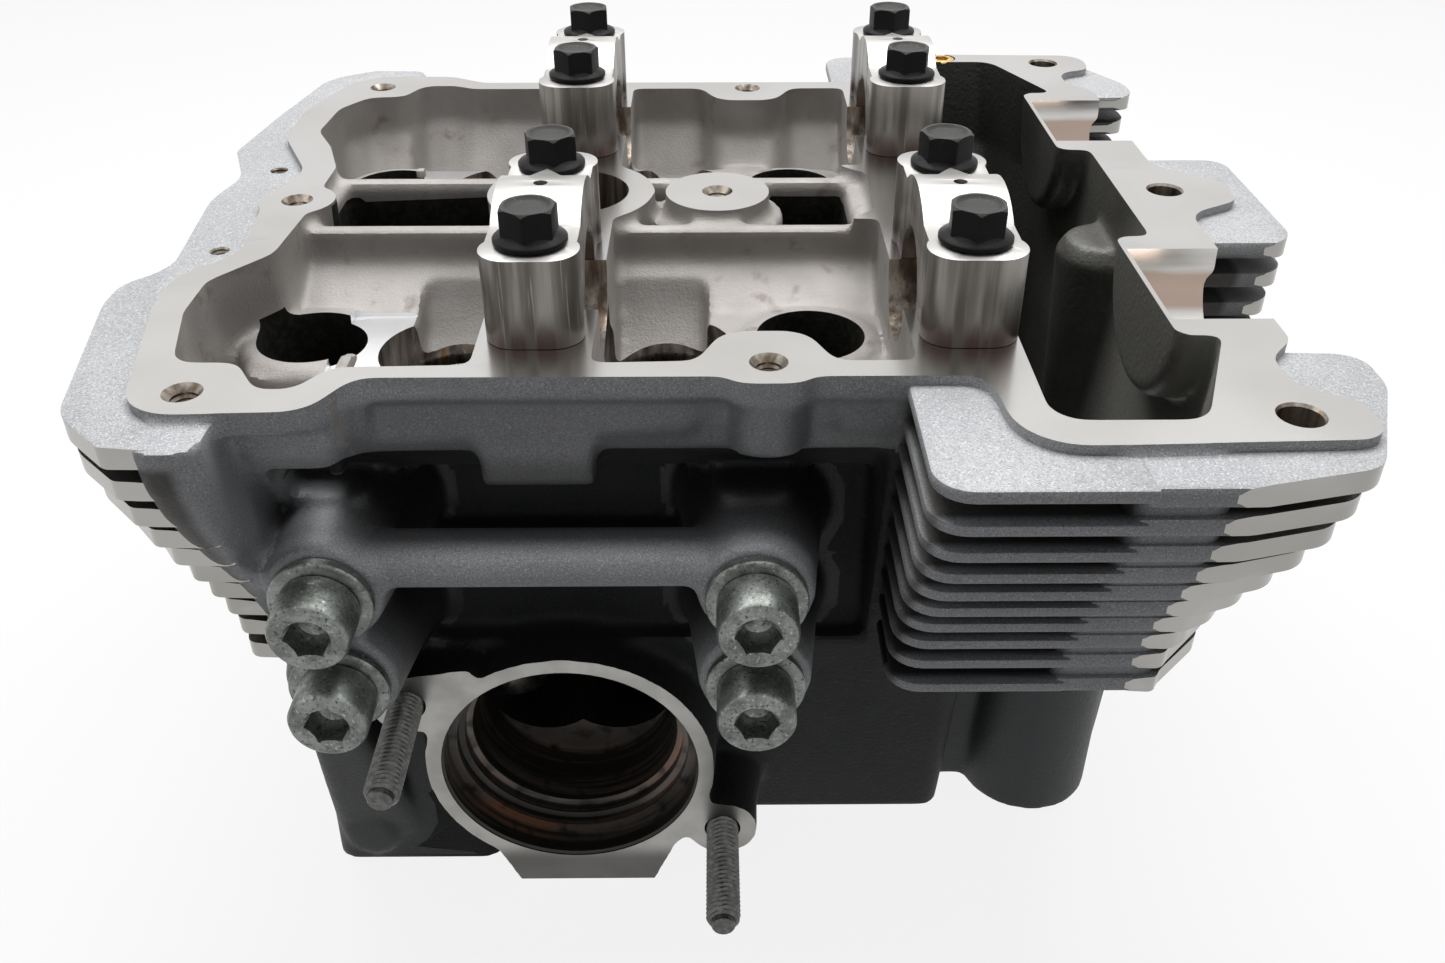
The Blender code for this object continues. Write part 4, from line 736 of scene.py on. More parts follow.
def outerBodies():
    # What the outside of the mould gives
    deck = casting["deck"] - 1
    shoulder = casting["floor"] - casting["floorThick"]
    bodies = [slab("head_casting_skin", coverOutline(), -casting["flangeThick"], 3, paint)]
    bodies.append(stack("bay_skirt", paint, (shoulder, bayOutline(3, -8)), (-12, bayOutline(4.5, 4)),
                        (-3.4, bayOutline(5, 5))))
    bodies.append(stack("block", paint, (deck, pillow(-63, 94, -58, 62)), (-3.7, pillow(-63, 94, -89.5, 85))))
    bodies.append(stack("deck_foot", paint, (deck, pillow(-63, -20, -75, -40)),
                        (-104, pillow(-63, -24, -70, -40))))
    bodies.append(stack("tunnel", paint, (deck, pillow(81, 137, -46.5, 48)), (-100, pillow(81, 138, -50, 50)),
                        (-78, pillow(80, 139, -75.6, 77.8)), (-4.3, pillow(79, 143, -115, 115))))
    for y in (-43, 43):
        bodies.append(upright("tunnel_boss", (119, y, deck), [(0, 17), (68, 17), (73, 13)], paint))
    bodies.append(upright("cover_column", (44.5, -87, -24.5),
                          [(0, 2), (1.2, 4.5), (4, 6.6), (9, 7.2), (23, 7.4)], paint, 32))
    stations = [(0, 6.2), (1.2, 7), (14, 7.2)]
    bodies.append(turned("deck_boss", (-53, -76, -141), (0.1, 1, 0), stations, paint, 32))
    bodies.append(rearward("cover_hump", (2.6, -95, -21.5), [(0, 2.5), (2, 4.5), (12, 6)], paint, 24))
    for end, edge in ((-1, fins["front"] - 12), (1, fins["rear"] - 12)):
        bodies += finWebs(end, edge)
    return bodies


def hollows():
    # What the cores leave inside, and the recesses in front and behind
    made = rooms(0)
    low, ceiling = -78, casting["floor"] - casting["floorThick"]
    for end, wall in ((-1, 91.5), (1, 87.0)):
        depth = wall - casting["recessIn"]
        side = [(depth, low), (depth, ceiling), (wall - 19.5, ceiling), (wall - 16.5, -28.6),
                (wall - 11.5, -23.8), (wall - 6.5, -19.6), (wall + 1, -17), (1.6 * wall, -17),
                (1.6 * wall, low)]
        made.append(across("recess", [(end * y, z) for y, z in side], -50, 68, paint))
        deeper = pillow(-32, 32, *span(end, depth - 7, depth + 4), 3)
        made.append(slab("recess_back", deeper, -52, -34, paint))
        for left, right in ((-30, 35.5), (54, 67.5)):
            panel = pillow(left, right, *span(end, wall - 1.9, 1.3 * wall), 0.5)
            made.append(slab("panel", panel, -18.5, -5.4, paint))
    for left, right in ((-57, -20.5), (48.5, 67)):
        made.append(slab("core_pocket", pillow(left, right, -13, 13, 3), casting["pocketFloor"], -22, hollow))
    stations = [(0, 8), (24, 6.5), (30, 3)]
    made.append(turned("side_pocket", (-50, -112, -35), (0.15, 1, 0), stations, paint, 32))
    return made


def innerBodies():
    # What stands inside the bays and in the recesses
    floor = casting["floor"] - 2
    made = []
    for x in bearings.values():
        made.append(brick("bearing_wall", (x - 11.2, -89.5, floor), (min(x + 11.2, 92.4), 85, 3), bareMetal))
    for low, high in ((-17.3, -12.8), (12.8, 17.3)):
        made.append(brick("spine_rib", (-66, low, floor), (82.5, high, -2.6), bareMetal))
    for end in (-1, 1):
        slope = [(end * 13.5, floor), (end * 13.5, -10.6), (end * 18.6, -11), (end * 31.5, -17.4),
                 (end * 36, -18), (end * 37, floor)]
        made.append(across("spine_slope", slope, -68, 82, bareMetal))
    for low, high in ((-66.5, -57.5), (67, 82.5)):
        made.append(brick("spine_end", (low, -16, floor - 1), (high, 16, -3.5), bareMetal))
    for name, x, y, radius, top in (("plug_ring", 0, 0, 20, 3), ("centre_boss_foot", 35.3, 0, 16, -5),
                                    ("centre_boss", 35.3, 0, 12.5, 3), ("left_boss", -64.5, -5, 9, 3)):
        made.append(slab(name, disc(x, y, radius), floor, top, bareMetal))
    for end in (-1, 1):
        gusset = [(82, end * 8), (82, end * 17.5), (66, end * 17.5), (70, end * 13.5)]
        made.append(slab("spine_gusset", gusset, -14, 3, bareMetal))
        table = pillow(-66, 72, *span(end, 30, 62), 8)
        made.append(slab("bore_table", table, floor, -17.2, bareMetal))
    for x, y in wellPlaces:
        lip = [(0, 16.4), (8.4, 15.8), (10, 14.6), (10.4, 12.6)]
        made.append(upright("well_lip", (x, y, floor), lip, bareMetal))
    blade = [(-86, floor), (-86, -9), (-66, -9), (-62, -10.5), (-60, -14), (-59.6, floor)]
    made.append(across("well_blade", blade, -41.6, -38.6, bareMetal))
    made.append(brick("rear_post", (-46, 38, floor), (-43.5, 42, -9), bareMetal))
    made.append(upright("rear_pin", (42, 26, floor), [(0, 2.4), (20, 2)], bareMetal, 16))
    bulge = [(0, 4), (60, 9), (104, 11.5), (108, 9)]
    made.append(upright("tunnel_bulge", (131, 0, -120), bulge, tunnelMetal))
    for y in (-52, 52):
        made.append(turned("notch_ring", (124, y, 0), (1, 0, 0), [(0, 22), (2, 24), (12, 24)], tunnelMetal))
    for x in screwPlaces["sides"].values():
        for z in screwPlaces["rows"].values():
            stations = [(0, 11.6), (6, 12.2), (20, 14), (38, 17)]
            made.append(rearward("screw_boss", (x, -100, z), stations, paint))
        made.append(stack("boss_arm", paint, (-75, pillow(x - 9, x + 9, -92, -64, 4)),
                          (-30, pillow(x - 8, x + 8, -86, -64, 4))))
    bar = [(-98.6, -43.8), (-99.4, -41), (-98, -37.6), (-94, -35.6), (-89, -35.4), (-86.4, -38), (-86, -43.8)]
    made.append(across("cross_bar", bar, -42, 42, paint))
    return made + portBodies()


def portBodies():
    foot = casting["deck"] - 1
    front, height = 1 + ports["exhaust"], ports["height"]
    made = []
    for cam, sign in signs.items():
        start = (0, sign * (ports[cam] + 1), height)
        made.append(turned("port_ring", start, (0, -sign, 0), [(0, 34), (8, 34.5), (42, 36.5)], paint, 64))
    tab = [(-14.5, foot), (-20, foot + 13), (-20, foot + 30), (24, foot + 30), (24, foot + 13), (18.5, foot)]
    made.append(inward("port_tab", tab, -front, -50, paint))
    for x, z in studPlaces.values():
        away = math.copysign(1, x)
        made.append(rearward("stud_ear", (x, -front, z), [(0, 8.5), (9, 8.7), (32, 12)], paint, 32))
        web = [(x, z + 8.2), (x - away * 16, height - away * 31.5), (x - away * 12, height),
               (x - away * 2, z - away * 2), (x, z - 8.2)]
        made.append(inward("ear_web", web, -front, -66, paint))
    return made


def machining():
    # Everything that is milled, bored, drilled or tapped
    far, deck = 300, casting["deck"]
    made = [brick("cover_face", (-far, -far, 0), (far, far, far), milled)]
    made.append(brick("deck_face", (-far, -far, -far), (far, far, deck), milled))
    for cam, sign in signs.items():
        face = ports[cam]
        plane = [(-66.5, -152), (-66.5, -80), (-30, -80), (-20, -73), (20, -73), (30, -80), (66.5, -80),
                 (66.5, -152)]
        made.append(inward("port_plane", plane, *span(sign, face, face + 60), milledPort))
        mouth = [(0, 30.3), (1.4, 30.3), (1.9, 29.8), (8.5, 29.8), (8.6, 27.8), (11, 27.8), (11.4, 26.4),
                 (14, 26.4), (14.4, 25), (30, 23)]
        start = (0, sign * (face + 1), ports["height"])
        made.append(turned("port_mouth", start, (0, -sign, 0), mouth, port, 72))
    for x in bearings.values():
        for y in cams.values():
            stations = straight(casting["camBore"], 28)
            made.append(turned("cam_bore", (x - 14, y, 0), (1, 0, 0), stations, bored, 56))
            for reach in (-20, 20):
                stations = [(0, 3.2), (18.3, 3.2), (18.3, 4.7), (24.5, 4.7)]
                made.append(upright("dowel_hole", (x, y + reach, -23.5), stations, bored, 24))
    for y in cams.values():
        made.append(turned("notch", (125, y, 0), (1, 0, 0), straight(17, 60), notchMetal, 72))
    made.append(upright("plug_bore", (0, 0, -142), [(0, 7), (24, 7), (24, 12), (143, 14)], bored, 56))
    for x, y in studHoles:
        made.append(upright("stud_hole", (x, y, -151), straight(5.75, 91), bored, 40))
    for x, y in wellPlaces:
        made.append(upright("nut_well", (x, y, -62), [(0, 11.6), (45, 11.6), (49, 12.4)], hollow, 56))
    for x in screwPlaces["sides"].values():
        for z in screwPlaces["rows"].values():
            made.append(rearward("screw_face", (x, -140, z), straight(11, 40), milled, 40))
            made.append(rearward("screw_hole", (x, -101, z), straight(5.2, 29), bored, 32))
    for x, z in studPlaces.values():
        made.append(rearward("stud_hole", (x, -83, z), [(0, 4.8), (1.6, 4.2), (18, 4.2)], bored, 32))
    for x, y in ((-61, -96.5), (44.5, -86), (-64.5, -5), (-62.5, 83), (44.5, 81.5), (35.3, 0)):
        made.append(tappedHole(x, y, 2.5))
    for x, y in ((-75.5, -30), (-76, 20)):
        made.append(tappedHole(x, y, 2.3))
    for x, y in ((136.5, -106), (143.5, 0), (136.5, 106)):
        made.append(upright("ear_hole", (x, y, -14), [(0, 4), (13.4, 4), (14.6, 4.8)], bored, 40))
    stations = [(0, 2), (7.8, 2), (7.8, 4.2), (15, 4.2)]
    made.append(upright("gallery_hole", (*casting["gallery"], -14), stations, bored, 40))
    for y in (-74, 31):
        made.append(brick("bore_land", (-47.5, y, -17.6), (-12.2, y + 43, -11), landMetal))
    return made + valveBores() + [chamber()]


def tappedHole(x, y, radius):
    stations = [(0, radius * 0.7)]
    for turn in range(12):
        stations += [(0.6 + turn, radius - 0.4), (1.1 + turn, radius)]
    stations += [(12.6, radius), (13.9, radius + 1.1), (15, radius + 2.1)]
    return upright("tapped_hole", (x, y, -14), stations, bored, 32)


def valveAxis(cam, side):
    # (point on the camshaft's axis, unit vector up the valve)
    upward = Vector((0, signs[cam] * math.sin(valves["tilt"]), math.cos(valves["tilt"])))
    return Vector((side * valves["spread"], cams[cam], 0)), upward


def valveBores():
    made = []
    for cam in cams:
        for side in (-1, 1):
            top, upward = valveAxis(cam, side)
            bores = [("tappet_bore", valves["springFloor"], valves["bore"], 60, 56),
                     ("guide_bore", 116, 5.7, 45, 24), ("seat_bore", 145, valves[cam] + 1.8, 12.7, 48)]
            for name, down, radius, length, sides in bores:
                made.append(turned(name, top - upward * down, upward, straight(radius, length), bored, sides))
            made.append(portBranch(cam, side))
    return made


def lobePockets():
    # Room for the cam lobes: part of a drum about each camshaft, sunk in the spine's slope
    made = []
    radius = 32.8
    edge = [(4, 0), (6.4, 0.7), (8.4, 2.6), (9.8, 6), (10.5, 11)]
    profile = [(-x, lift) for x, lift in reversed(edge)] + edge
    for cam, y in cams.items():
        sign = signs[cam]
        for middle in (-22.3, 22.3):
            rings = []
            for x, lift in profile:
                ring = [(middle + x, y - sign * 2, -3), (middle + x, y - sign * 2, -33)]
                for step in range(15):
                    turn = math.radians(75 - (60 - lift) * step / 14)
                    ring.append((middle + x, y - sign * radius * math.cos(turn), -radius * math.sin(turn)))
                rings.append(ring)
            made.append(ringBody("lobe_pocket", rings, bareMetal))
    return made


def portBranch(cam, side):
    # A curved way from one seat to the mouth that both valves share
    sign = signs[cam]
    top, upward = valveAxis(cam, side)
    start = top - upward * (valves["seat"] - 5.5)
    mouth = Vector((side * 9, sign * (ports[cam] - 28), ports["height"]))
    pull = 16
    first, second = start + upward * pull, mouth - Vector((0, sign * pull, 0))
    rings = []
    for step in range(11):
        along = step / 10
        rest = 1 - along
        centre = (rest ** 3 * start + 3 * rest ** 2 * along * first + 3 * rest * along ** 2 * second
                  + along ** 3 * mouth)
        heading = (rest ** 2 * (first - start) + 2 * rest * along * (second - first)
                   + along ** 2 * (mouth - second))
        rings.append(hoop(centre, heading, valves[cam] - 3 + along * 1.5, 32))
    return ringBody("port_branch", rings, hollow)


def chamber():
    # A pent roof whose slopes are square to the valves
    slope = math.tan(valves["tilt"])
    seatY = cams["intake"] - valves["seat"] * math.sin(valves["tilt"])
    ridge = -valves["seat"] * math.cos(valves["tilt"]) + seatY * slope
    dome = slab("chamber", disc(0, 0, 49, 64), casting["deck"] - 1, ridge + 1, bareMetal)
    for sign in signs.values():
        cutter = brick("roof", (-60, 0, 0), (60, 90, 60), bareMetal)
        if sign < 0:
            cutter.data.transform(Matrix.Scale(-1, 4, (0, 1, 0)))
            cutter.data.flip_normals()
        tilted = Matrix.Rotation(-sign * valves["tilt"], 4, "X")
        cutter.data.transform(Matrix.Translation((0, 0, ridge)) @ tilted)
        work(dome, [cutter], "DIFFERENCE")
    return dome


def insideCasting(x, y, z):
    # The room that a point of the skin lies in, or None on the outside; shade is a dark recess
    if z > -0.02 or z < casting["deck"] + 0.02:
        return None
    reach = tunnelLevels[0][2]
    for (low, _, near), (high, _, far) in zip(tunnelLevels, tunnelLevels[1:]):
        if z > low:
            reach = near + (far - near) * min(1, (z - low) / (high - low))
    if 91 < x < 135.5 and abs(y) < min(reach + 3.5, 110.5):
        return "tunnel"
    if abs(y) < 14.5 and casting["pocketFloor"] - 1 < z < -7 and (-58 < x < -19 or 47 < x < 68):
        return "pocket"
    slant = max(0, -10 - z)
    left = -74 if abs(y) > 34 else -64
    if z > -28.5 and left < x < 82 and 0.75 * slant - 88.2 < y < 83.8 - 0.75 * slant:
        return "bays"
    if z > -18 and -56 < x < -34 and (0.86 * slant - 97.2 < y < -80 or 78 < y < 86.3 - 0.86 * slant):
        return "bays"
    screwX = screwPlaces["sides"]["right"]
    nearScrew = min(math.hypot(abs(x) - screwX, z - row) for row in screwPlaces["rows"].values()) < 20
    if -19 > z > -80 and -52 < x < 96 and abs(y) < 86 and not nearScrew:
        return "shade"
    if z <= -80 and -36 < x < 96 and abs(y) < 82:
        return "shade"
    return None


def makeCasting():
    skin, *outer = outerBodies()
    work(skin, outer, "UNION", "EXACT")
    work(skin, hollows(), "DIFFERENCE", "EXACT")
    work(skin, innerBodies(), "UNION", "EXACT")
    work(skin, lobePockets(), "DIFFERENCE", "EXACT")
    remesh = skin.modifiers.new("skin", "REMESH")
    remesh.mode = "VOXEL"
    remesh.voxel_size = casting["grain"]
    soften = skin.modifiers.new("fillets", "SMOOTH")
    soften.factor = 0.5
    soften.iterations = casting["softening"]
    thin = skin.modifiers.new("thin", "DECIMATE")
    thin.ratio = casting["facesKept"]
    pickOnly(skin)
    for modifier in list(skin.modifiers):
        bpy.ops.object.modifier_apply(modifier=modifier.name)
    skin.data.materials.clear()
    finishes = {None: paint, "bays": bareMetal, "tunnel": tunnelMetal, "pocket": hollow, "shade": recessShade}
    for material in finishes.values():
        skin.data.materials.append(material)
    for face in skin.data.polygons:
        face.material_index = 0
    print("casting's skin:", len(skin.data.polygons), "faces")
    work(skin, makeFins(), "UNION")
    print("with fins:", len(skin.data.polygons), "faces")
    work(skin, machining(), "DIFFERENCE")
    order = list(finishes)
    for face in skin.data.polygons:
        if face.material_index == 0:
            face.material_index = order.index(insideCasting(*face.center))
    skin.name = "head_casting_detail"
    skin.data.name = skin.name
    settle(skin, ["head_casting"])
    print("machined casting:", len(skin.data.polygons), "faces")


makeCasting()


# Fasteners and the pieces on the casting

def hexagon(acrossFlats, radius=0.25, steps=2):
    reach = acrossFlats / math.sqrt(3)
    turns = [math.radians(60 * corner) for corner in range(6)]
    return softOutline([(reach * math.cos(turn), reach * math.sin(turn), radius) for turn in turns], steps)


def threaded(name, low, high, radius, pitch, material, sides=24):
    # A rod with a helical thread; both ends are chamfered
    depth = 0.55 * pitch
    rings = []
    steps = math.ceil((high - low) / pitch * 6)
    for step in range(steps + 1):
        z = low + (high - low) * step / steps
        limit = radius - depth - 0.2 + min(z - low, high - z)
        ring = []
        for side in range(sides):
            turn = side / sides
            phase = (z / pitch - turn) % 1
            reach = min(radius - depth * abs(2 * phase - 1), limit)
            ring.append((reach * math.cos(2 * math.pi * turn), reach * math.sin(2 * math.pi * turn), z))
        rings.append(ring)
    return ringBody(name, rings, material)


def sleeve(name, outer, inner, material, sides=48):
    # A turned ring about z: an outer profile with a bored one taken out
    body = lathe(name, outer, material, sides)
    work(body, [lathe("bore", inner, material, sides)], "DIFFERENCE")
    return body


def placed(pattern, name, spot, turn=0.0):
    # A copy of a pattern with its own mesh, turned about x and moved
    copied = bpy.data.objects.new(name, pattern.data.copy())
    copied.data.name = name
    bpy.context.scene.collection.objects.link(copied)
    copied.data.transform(Matrix.Translation(spot) @ Matrix.Rotation(turn, 4, "X"))
    return copied


def discard(*patterns):
    for pattern in patterns:
        bpy.data.objects.remove(pattern, do_unlink=True)


def finishTops(piece, material, low):
    # Faces that look up, above a height, get a finish of their own
    piece.data.materials.append(material)
    for face in piece.data.polygons:
        if face.normal.z > 0.6 and face.center.z > low:
            face.material_index = len(piece.data.materials) - 1


def capPlaces():
    for cam, y in cams.items():
        for side, x in bearings.items():
            yield cam, side, x, y


cap = {"half": 9.5, "waist": 8.7, "reach": 29.0, "padLength": 12.2, "pad": 18.0, "crown": 22.0, "foot": 0.1,
       "bolt": 20.0, "corner": 6.8, "edge": 0.45, "spotFace": 7.8, "oilHole": 1.4}
capBoltEnds = {"front": -cap["bolt"], "rear": cap["bolt"]}


def makeCaps():
    half, waist, reach, pad = cap["half"], cap["waist"], cap["reach"], cap["pad"]
    inner = cap["padLength"] - reach
    ends = ((-reach, inner), (-inner, reach))
    plans = [pillow(-half, half, low, high, cap["corner"], 8) for low, high in ends]
    pattern, rearPad = [slab("cap", plan, cap["foot"], pad, capMetal) for plan in plans]
    bridge = pillow(-waist, waist, 6 - reach, reach - 6, 1)
    rest = [rearPad, slab("bridge", bridge, cap["foot"], pad - 0.01, capMetal)]
    crown = [(0, cap["crown"]), (2 * waist, cap["crown"])]
    rest.append(turned("crown", (-waist, 0, 0), (1, 0, 0), crown, capMetal, 144))
    work(pattern, rest, "UNION")
    cuts = [brick("foot", (-40, -80, -60), (40, 80, cap["foot"]), capMetal)]
    cuts.append(turned("bearing", (-20, 0, 0), (1, 0, 0), straight(casting["camBore"], 40), capMetal, 56))
    cuts.append(upright("oil_hole", (0, 0, 5), straight(cap["oilHole"], 20), capMetal, 20))
    for end in capBoltEnds.values():
        stations = [(0, 4.8), (5.2, 4.8), (5.2, 3.3), (18.2, 3.3), (40, 3.3)]
        cuts.append(upright("bolt_hole", (0, end, 0), stations, capMetal, 32))
        cuts.append(upright("spot_face", (0, end, pad), straight(cap["spotFace"], 20), capMetal))
        near, far = sorted((end, math.copysign(50, end)))
        cuts.append(brick("pad_level", (-20, near, pad), (20, far, 40), capMetal))
    work(pattern, cuts, "DIFFERENCE")
    nose = slab("nose", [(-5.2, 6), (5.2, 6), (0, 12.3)], pad - 3, pad + 2.3, capMetal)
    work(pattern, [nose], "UNION")
    softenEdges(pattern, cap["edge"], 38)
    finishTops(pattern, capTop, 9)
    for cam, side, x, y in capPlaces():
        name = f"{cam}_cam_cap_{side}"
        settle(placed(pattern, f"{name}_detail", (x, y, 0)), [name])
    discard(pattern)


capBolt = {"thread": 3.0, "flange": 7.1, "hex": 10.0, "foot": 0.9, "top": 7.4, "dish": 0.75, "shank": 40.0}


def makeCapBolts():
    top, flange = capBolt["top"], capBolt["flange"]
    pattern = slab("bolt", hexagon(capBolt["hex"], 0.35, 3), capBolt["foot"], top, black)
    work(pattern, [lathe("chamfer", [(0, 6), (top - 0.75, 5.95), (top, 5.1)], black, 64)], "INTERSECT")
    stations = [(0.25, flange - 0.3), (0.5, flange), (1.15, flange), (1.4, flange - 0.25), (1.9, 5.6),
                (2.3, 5.05)]
    work(pattern, [lathe("flange", stations, black, 64)], "UNION")
    stations = [(top - capBolt["dish"], 3.3), (top - 0.5, 4.0), (top, 4.45), (top + 1, 4.8)]
    work(pattern, [lathe("dish", stations, black)], "DIFFERENCE")
    softenEdges(pattern, 0.14, 30)
    finishTops(pattern, blackTop, top - 1)
    shank = threaded("shank", 0.4 - capBolt["shank"], 0.6, capBolt["thread"], 1.0, black, 18)
    work(pattern, [shank], "UNION")
    for cam, side, x, y in capPlaces():
        for place, end in capBoltEnds.items():
            # Each bolt came to rest at an angle of its own
            name = f"{cam}_cap_bolt_{side}_{place}"
            bolt = placed(pattern, f"{name}_detail", (0, 0, 0))
            angle = math.radians(23 * (x + y) + 2 * end)
            bolt.data.transform(Matrix.Rotation(angle, 4, "Z"))
            bolt.data.transform(Matrix.Translation((x, y + end, cap["pad"])))
            settle(bolt, [name])
    discard(pattern)


def makeDowels():
    stations = [(-5, 4.2), (-4.6, 4.5), (4.6, 4.5), (5, 4.2)]
    pattern = sleeve("dowel", stations, [(-7, 3.2), (7, 3.2)], studMetal)
    for cam, side, x, y in capPlaces():
        for place, end in capBoltEnds.items():
            name = f"{cam}_cap_dowel_{side}_{place}"
            settle(placed(pattern, f"{name}_detail", (x, y + end, 0)), [name])
    discard(pattern)


screw = {"face": -102.7, "washer": 2.5, "head": 8.0, "height": 10.0, "key": 8.0, "keyDepth": 5.2,
         "thread": 5.0}


def makeSideScrews():
    head, height = screw["head"], screw["height"]
    keyFoot = height - screw["keyDepth"]
    stations = [(0.25, head - 0.3), (0.5, head), (height - 1.1, head), (height - 0.35, head - 0.45),
                (height, head - 1.2)]
    pattern = lathe("screw", stations, zinc, 64)
    socket = [slab("socket", hexagon(screw["key"], 0.2, 1), keyFoot, height + 2, zinc)]
    socket.append(lathe("lead", [(height - 0.5, 4.1), (height + 0.5, 5.1)], zinc))
    socket.append(lathe("drill", [(keyFoot - 1.6, 0.4), (keyFoot + 0.4, 3.6)], zinc, 32))
    work(pattern, socket, "DIFFERENCE")
    work(pattern, [threaded("shank", -27.5, 0.7, screw["thread"], 1.5, zinc)], "UNION")
    stations = [(-screw["washer"], 9.8), (-2.2, 10.2), (-0.5, 10.25), (-0.15, 10.0), (0, 9.6)]
    washer = sleeve("washer", stations, [(-4, 5.25), (2, 5.25)], zinc, 64)
    for side, x in screwPlaces["sides"].items():
        for row, z in screwPlaces["rows"].items():
            for kind, shape in (("screw", pattern), ("washer", washer)):
                name = f"side_{kind}_{row}_{side}"
                spot = (x, screw["face"], z)
                settle(placed(shape, f"{name}_detail", spot, math.radians(90)), [name])
    discard(pattern, washer)


def makeStuds():
    pattern = threaded("stud", -15.9, 27.5, 4.0, 1.25, studMetal)
    work(pattern, [lathe("tip", [(26, 2.7), (28.6, 2.7), (29, 2.4)], studMetal, 24)], "UNION")
    for side, (x, z) in studPlaces.items():
        name = f"exhaust_stud_{side}"
        spot = (x, -ports["exhaust"], z)
        settle(placed(pattern, f"{name}_detail", spot, math.radians(90)), [name])
    discard(pattern)


def makeGalleryPlug():
    stations = [(-6, 3.5), (-5.5, 4), (-0.5, 4), (-0.1, 3.7), (0, 3.4)]
    plug = lathe("oil_gallery_plug_detail", stations, brassMetal, 40)
    work(plug, [slab("socket", hexagon(4), -2.5, 2, brassMetal)], "DIFFERENCE")
    plug.data.transform(Matrix.Translation((*casting["gallery"], 0)))
    settle(plug, ["oil_gallery_plug"])


makeCaps()
makeCapBolts()
makeDowels()
makeSideScrews()
makeStuds()
makeGalleryPlug()
print("fasteners made")


# Valve train: distances run up each valve's axis, from the camshaft's axis

train = {"stem": 3.0, "tip": -29.0, "collarTop": -32.0, "collarFoot": -38.0, "springFoot": -71.8,
         "springTop": -35.7, "coil": 10.5, "wire": 1.6, "turns": 5, "closedTurns": 0.75, "guideTop": -64.0,
         "guideFoot": -108.0, "lift": 8.5}


def valvePattern(cam):
    radius, stem, seat, tip = valves[cam], train["stem"], -valves["seat"], train["tip"]
    rise = radius - 2 - stem
    stations = [(seat - 2.2, radius - 0.5), (seat - 1.8, radius), (seat - 0.6, radius)]
    for step in range(13):
        along = step / 12
        stations.append((seat + 1.4 + 1.15 * rise * along, stem + rise * (1 - along) ** 5))
    stations += [(-34.6, stem), (-34.5, stem - 0.45), (-33.5, stem - 0.45), (-33.4, stem), (tip - 0.5, stem),
                 (tip, stem - 0.5)]
    return lathe("valve", stations, valveMetal, 64)


def springPattern():
    # The end coils lie nearly closed and the ones between them are open
    perTurn, turns, radius, flat = 30, train["turns"], train["wire"], train["closedTurns"]
    low, high = train["springFoot"] + radius, train["springTop"] - radius
    closed = 2 * radius + 0.1
    loose = (high - low - 2 * flat * closed) / (turns - 2 * flat)
    rings = []
    for step in range(turns * perTurn + 1):
        turn = step / perTurn
        z = low + closed * min(turn, flat) + loose * min(max(turn - flat, 0), turns - 2 * flat)
        z += closed * max(turn - turns + flat, 0)
        outward = Vector((math.cos(2 * math.pi * turn), math.sin(2 * math.pi * turn), 0))
        centre = outward * train["coil"] + Vector((0, 0, z))
        ring = []
        for corner in range(12):
            angle = 2 * math.pi * corner / 12
            ring.append(centre + radius * (outward * math.cos(angle) + Vector((0, 0, math.sin(angle)))))
        rings.append(ring)
    return ringBody("spring", rings, springMetal)


def trainPatterns():
    # The patterns that both camshafts' valves share, each with its slot
    foot, top = train["collarFoot"], train["collarTop"]
    collet = sleeve("collet", [(foot, 3.65), (top, 4.25)], [(foot - 1, 3.1), (top + 1, 3.1)], valveMetal, 40)
    work(collet, [brick("split", (-0.5, -9, -50), (0.5, 9, -20), valveMetal)], "DIFFERENCE")
    stations = [(-38, 7.6), (-37.6, 8.0), (-35.6, 8.1), (-35.5, 12.6), (-35.1, 13), (-33.4, 13),
                (-33.0, 12.6), (-33.0, 8.4), (-32.6, 8), (-32.5, 7.6)]
    retainer = sleeve("retainer", stations, [(-39, 3.87), (-32, 4.5)], retainerMetal)
    foot, top = train["guideFoot"], train["guideTop"]
    stations = [(foot, 4.9), (foot + 0.6, 5.5), (-73, 5.5), (top - 0.6, 5.5), (top, 5.0)]
    guide = sleeve("guide", stations, [(foot - 2, 3.06), (top + 4, 3.06)], guideMetal)
    stations = [(-63.8, 5.5), (-61.6, 5.5), (-61.2, 4.9), (-60.6, 4.9), (-60.2, 5.3), (-59.4, 5.3),
                (-58.9, 4.8), (-58, 4.2)]
    seal = sleeve("seal", stations, [(-66, 3.06), (-56, 3.06)], sealRubber)
    return {"collet": (collet, "valve_steel"), "spring_retainer": (retainer, "retainer_steel"),
            "valve_guide": (guide, "guide_bronze"), "stem_seal": (seal, "seal_rubber"),
            "valve_spring": (springPattern(), "spring_steel")}


def seatPattern(cam):
    radius, seat = valves[cam], -valves["seat"]
    outer = [(seat, radius + 1.6), (seat + 6.1, radius + 1.6), (seat + 6.5, radius + 1.2)]
    inner = [(seat - 1, radius + 1.2), (seat + 3.2, radius - 3), (seat + 8, radius - 3)]
    return sleeve("seat", outer, inner, seatMetal, 64)


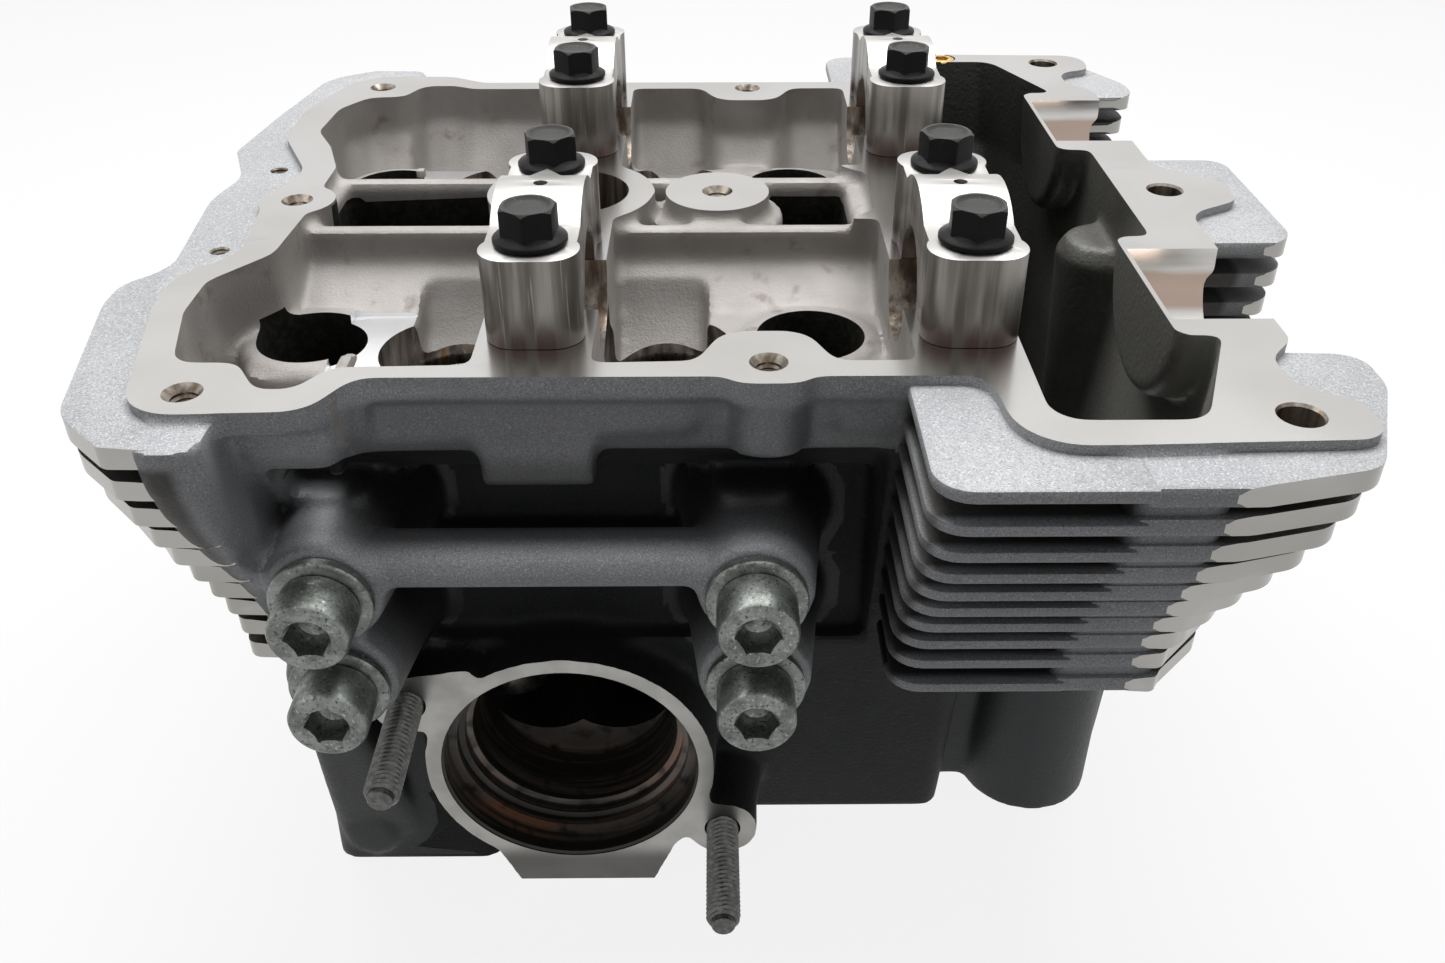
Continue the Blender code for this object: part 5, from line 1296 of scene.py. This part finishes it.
def makeValveTrain():
    patterns = trainPatterns()
    for cam, sign in signs.items():
        patterns["valve"] = (valvePattern(cam), "valve_steel")
        patterns["valve_seat"] = (seatPattern(cam), "seat_steel")
        for side, hand in (("left", -1), ("right", 1)):
            top, upward = valveAxis(cam, hand)
            group = f"{cam}_valve_{side}_group"
            for part, (pattern, slot) in patterns.items():
                name = f"{cam}_{part}_{side}"
                made = placed(pattern, f"{name}_detail", top, -sign * valves["tilt"])
                moves = part in ("collet", "spring_retainer", "valve")
                settle(made, [name], body=group if moves else "head")
                if part == "valve_spring":
                    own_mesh(made)
        discard(patterns.pop("valve")[0], patterns.pop("valve_seat")[0])
    discard(*[pattern for pattern, slot in patterns.values()])
    print("valve train made")


makeValveTrain()


# Camera, light and floor

camera = {"lens": 36 * 1300 / 1445, "tilt": 33.8, "yaw": -0.45, "offset": Vector((34.2, -299.6, 116.2))}
studio = {"ambient": 0.12, "floorGlow": 0.86, "top": 15.8, "side": 0.8}


def stood(name, data, place, turn):
    stand = bpy.data.objects.new(name, data)
    bpy.context.scene.collection.objects.link(stand)
    stand.location = place
    stand.rotation_euler = turn
    return stand


def setCamera():
    view = bpy.data.cameras.new("camera")
    view.sensor_width = 36
    view.lens = camera["lens"]
    view.clip_start = 0.01
    turn = (math.radians(90 - camera["tilt"]), 0, math.radians(camera["yaw"]))
    bpy.context.scene.camera = stood("camera", view, home + camera["offset"] * mm, turn)


def setLight(name, place, size, power):
    # A soft lamp that looks at the middle of the head
    lamp = bpy.data.lights.new(name, "AREA")
    lamp.shape = "RECTANGLE"
    lamp.size, lamp.size_y = size
    lamp.energy = power
    aim = Vector((0, 0, 0.1)) - Vector(place)
    stood(name, lamp, place, aim.to_track_quat("-Z", "Y").to_euler())


def seenWhite(nodes):
    # 1 for rays that show the background: straight, in metal or through glass
    total = nodes.add("ShaderNodeLightPath", {}, {}, "Is Camera Ray")
    for kind in ("Is Glossy Ray", "Is Transmission Ray"):
        ray = nodes.add("ShaderNodeLightPath", {}, {}, kind)
        total = total.worked("MAXIMUM", total, ray)
    return total


def setWorld():
    world = bpy.data.worlds.new("studio")
    bpy.context.scene.world = world
    nodes = Nodes(world)
    background = nodes.tree.nodes["Background"]
    background.inputs["Color"].default_value = tone(0.95, 0.97, 1.0)
    background.inputs["Strength"].default_value = studio["ambient"]
    light = Amount(nodes, background.outputs[0])
    white = nodes.add("ShaderNodeBackground", {}, {"Color": tone(1, 1, 1)})
    mix = nodes.add("ShaderNodeMixShader", {}, {0: seenWhite(nodes), 1: light, 2: white})
    nodes.feed("World Output", "Surface", mix)


def setFloor():
    # White to the camera and in metal, with the shadow kept; darker cloth to all other light
    bpy.ops.mesh.primitive_plane_add(size=12, location=(0, 0, -0.0002))
    floor = bpy.context.object
    floor.name = "floor"
    material = bpy.data.materials.new("pale_floor")
    nodes = Nodes(material)
    shader = nodes.tree.nodes["Principled BSDF"]
    shader.inputs["Base Color"].default_value = tone(0.8, 0.8, 0.8)
    shader.inputs["Roughness"].default_value = 0.9
    cloth = Amount(nodes, shader.outputs[0])
    bounce = nodes.add("ShaderNodeBsdfDiffuse", {}, {"Color": tone(0.16, 0.16, 0.16)})
    glow = nodes.add("ShaderNodeEmission", {}, {})
    lit = nodes.add("ShaderNodeMixShader", {}, {0: studio["floorGlow"], 1: cloth, 2: glow})
    seen = nodes.add("ShaderNodeMixShader", {}, {0: seenWhite(nodes), 1: bounce, 2: lit})
    nodes.feed("Material Output", "Surface", seen)
    floor.data.materials.append(material)


setCamera()
setLight("top_light", (0.0, 0.3, 1.0), (1.1, 0.75), studio["top"])
setLight("left_light", (-0.85, -0.1, 0.7), (0.5, 0.7), studio["side"])
setLight("right_light", (0.85, -0.1, 0.7), (0.5, 0.7), studio["side"])
setWorld()
setFloor()
bpy.context.scene.view_settings.view_transform = "Standard"
print("stage set")
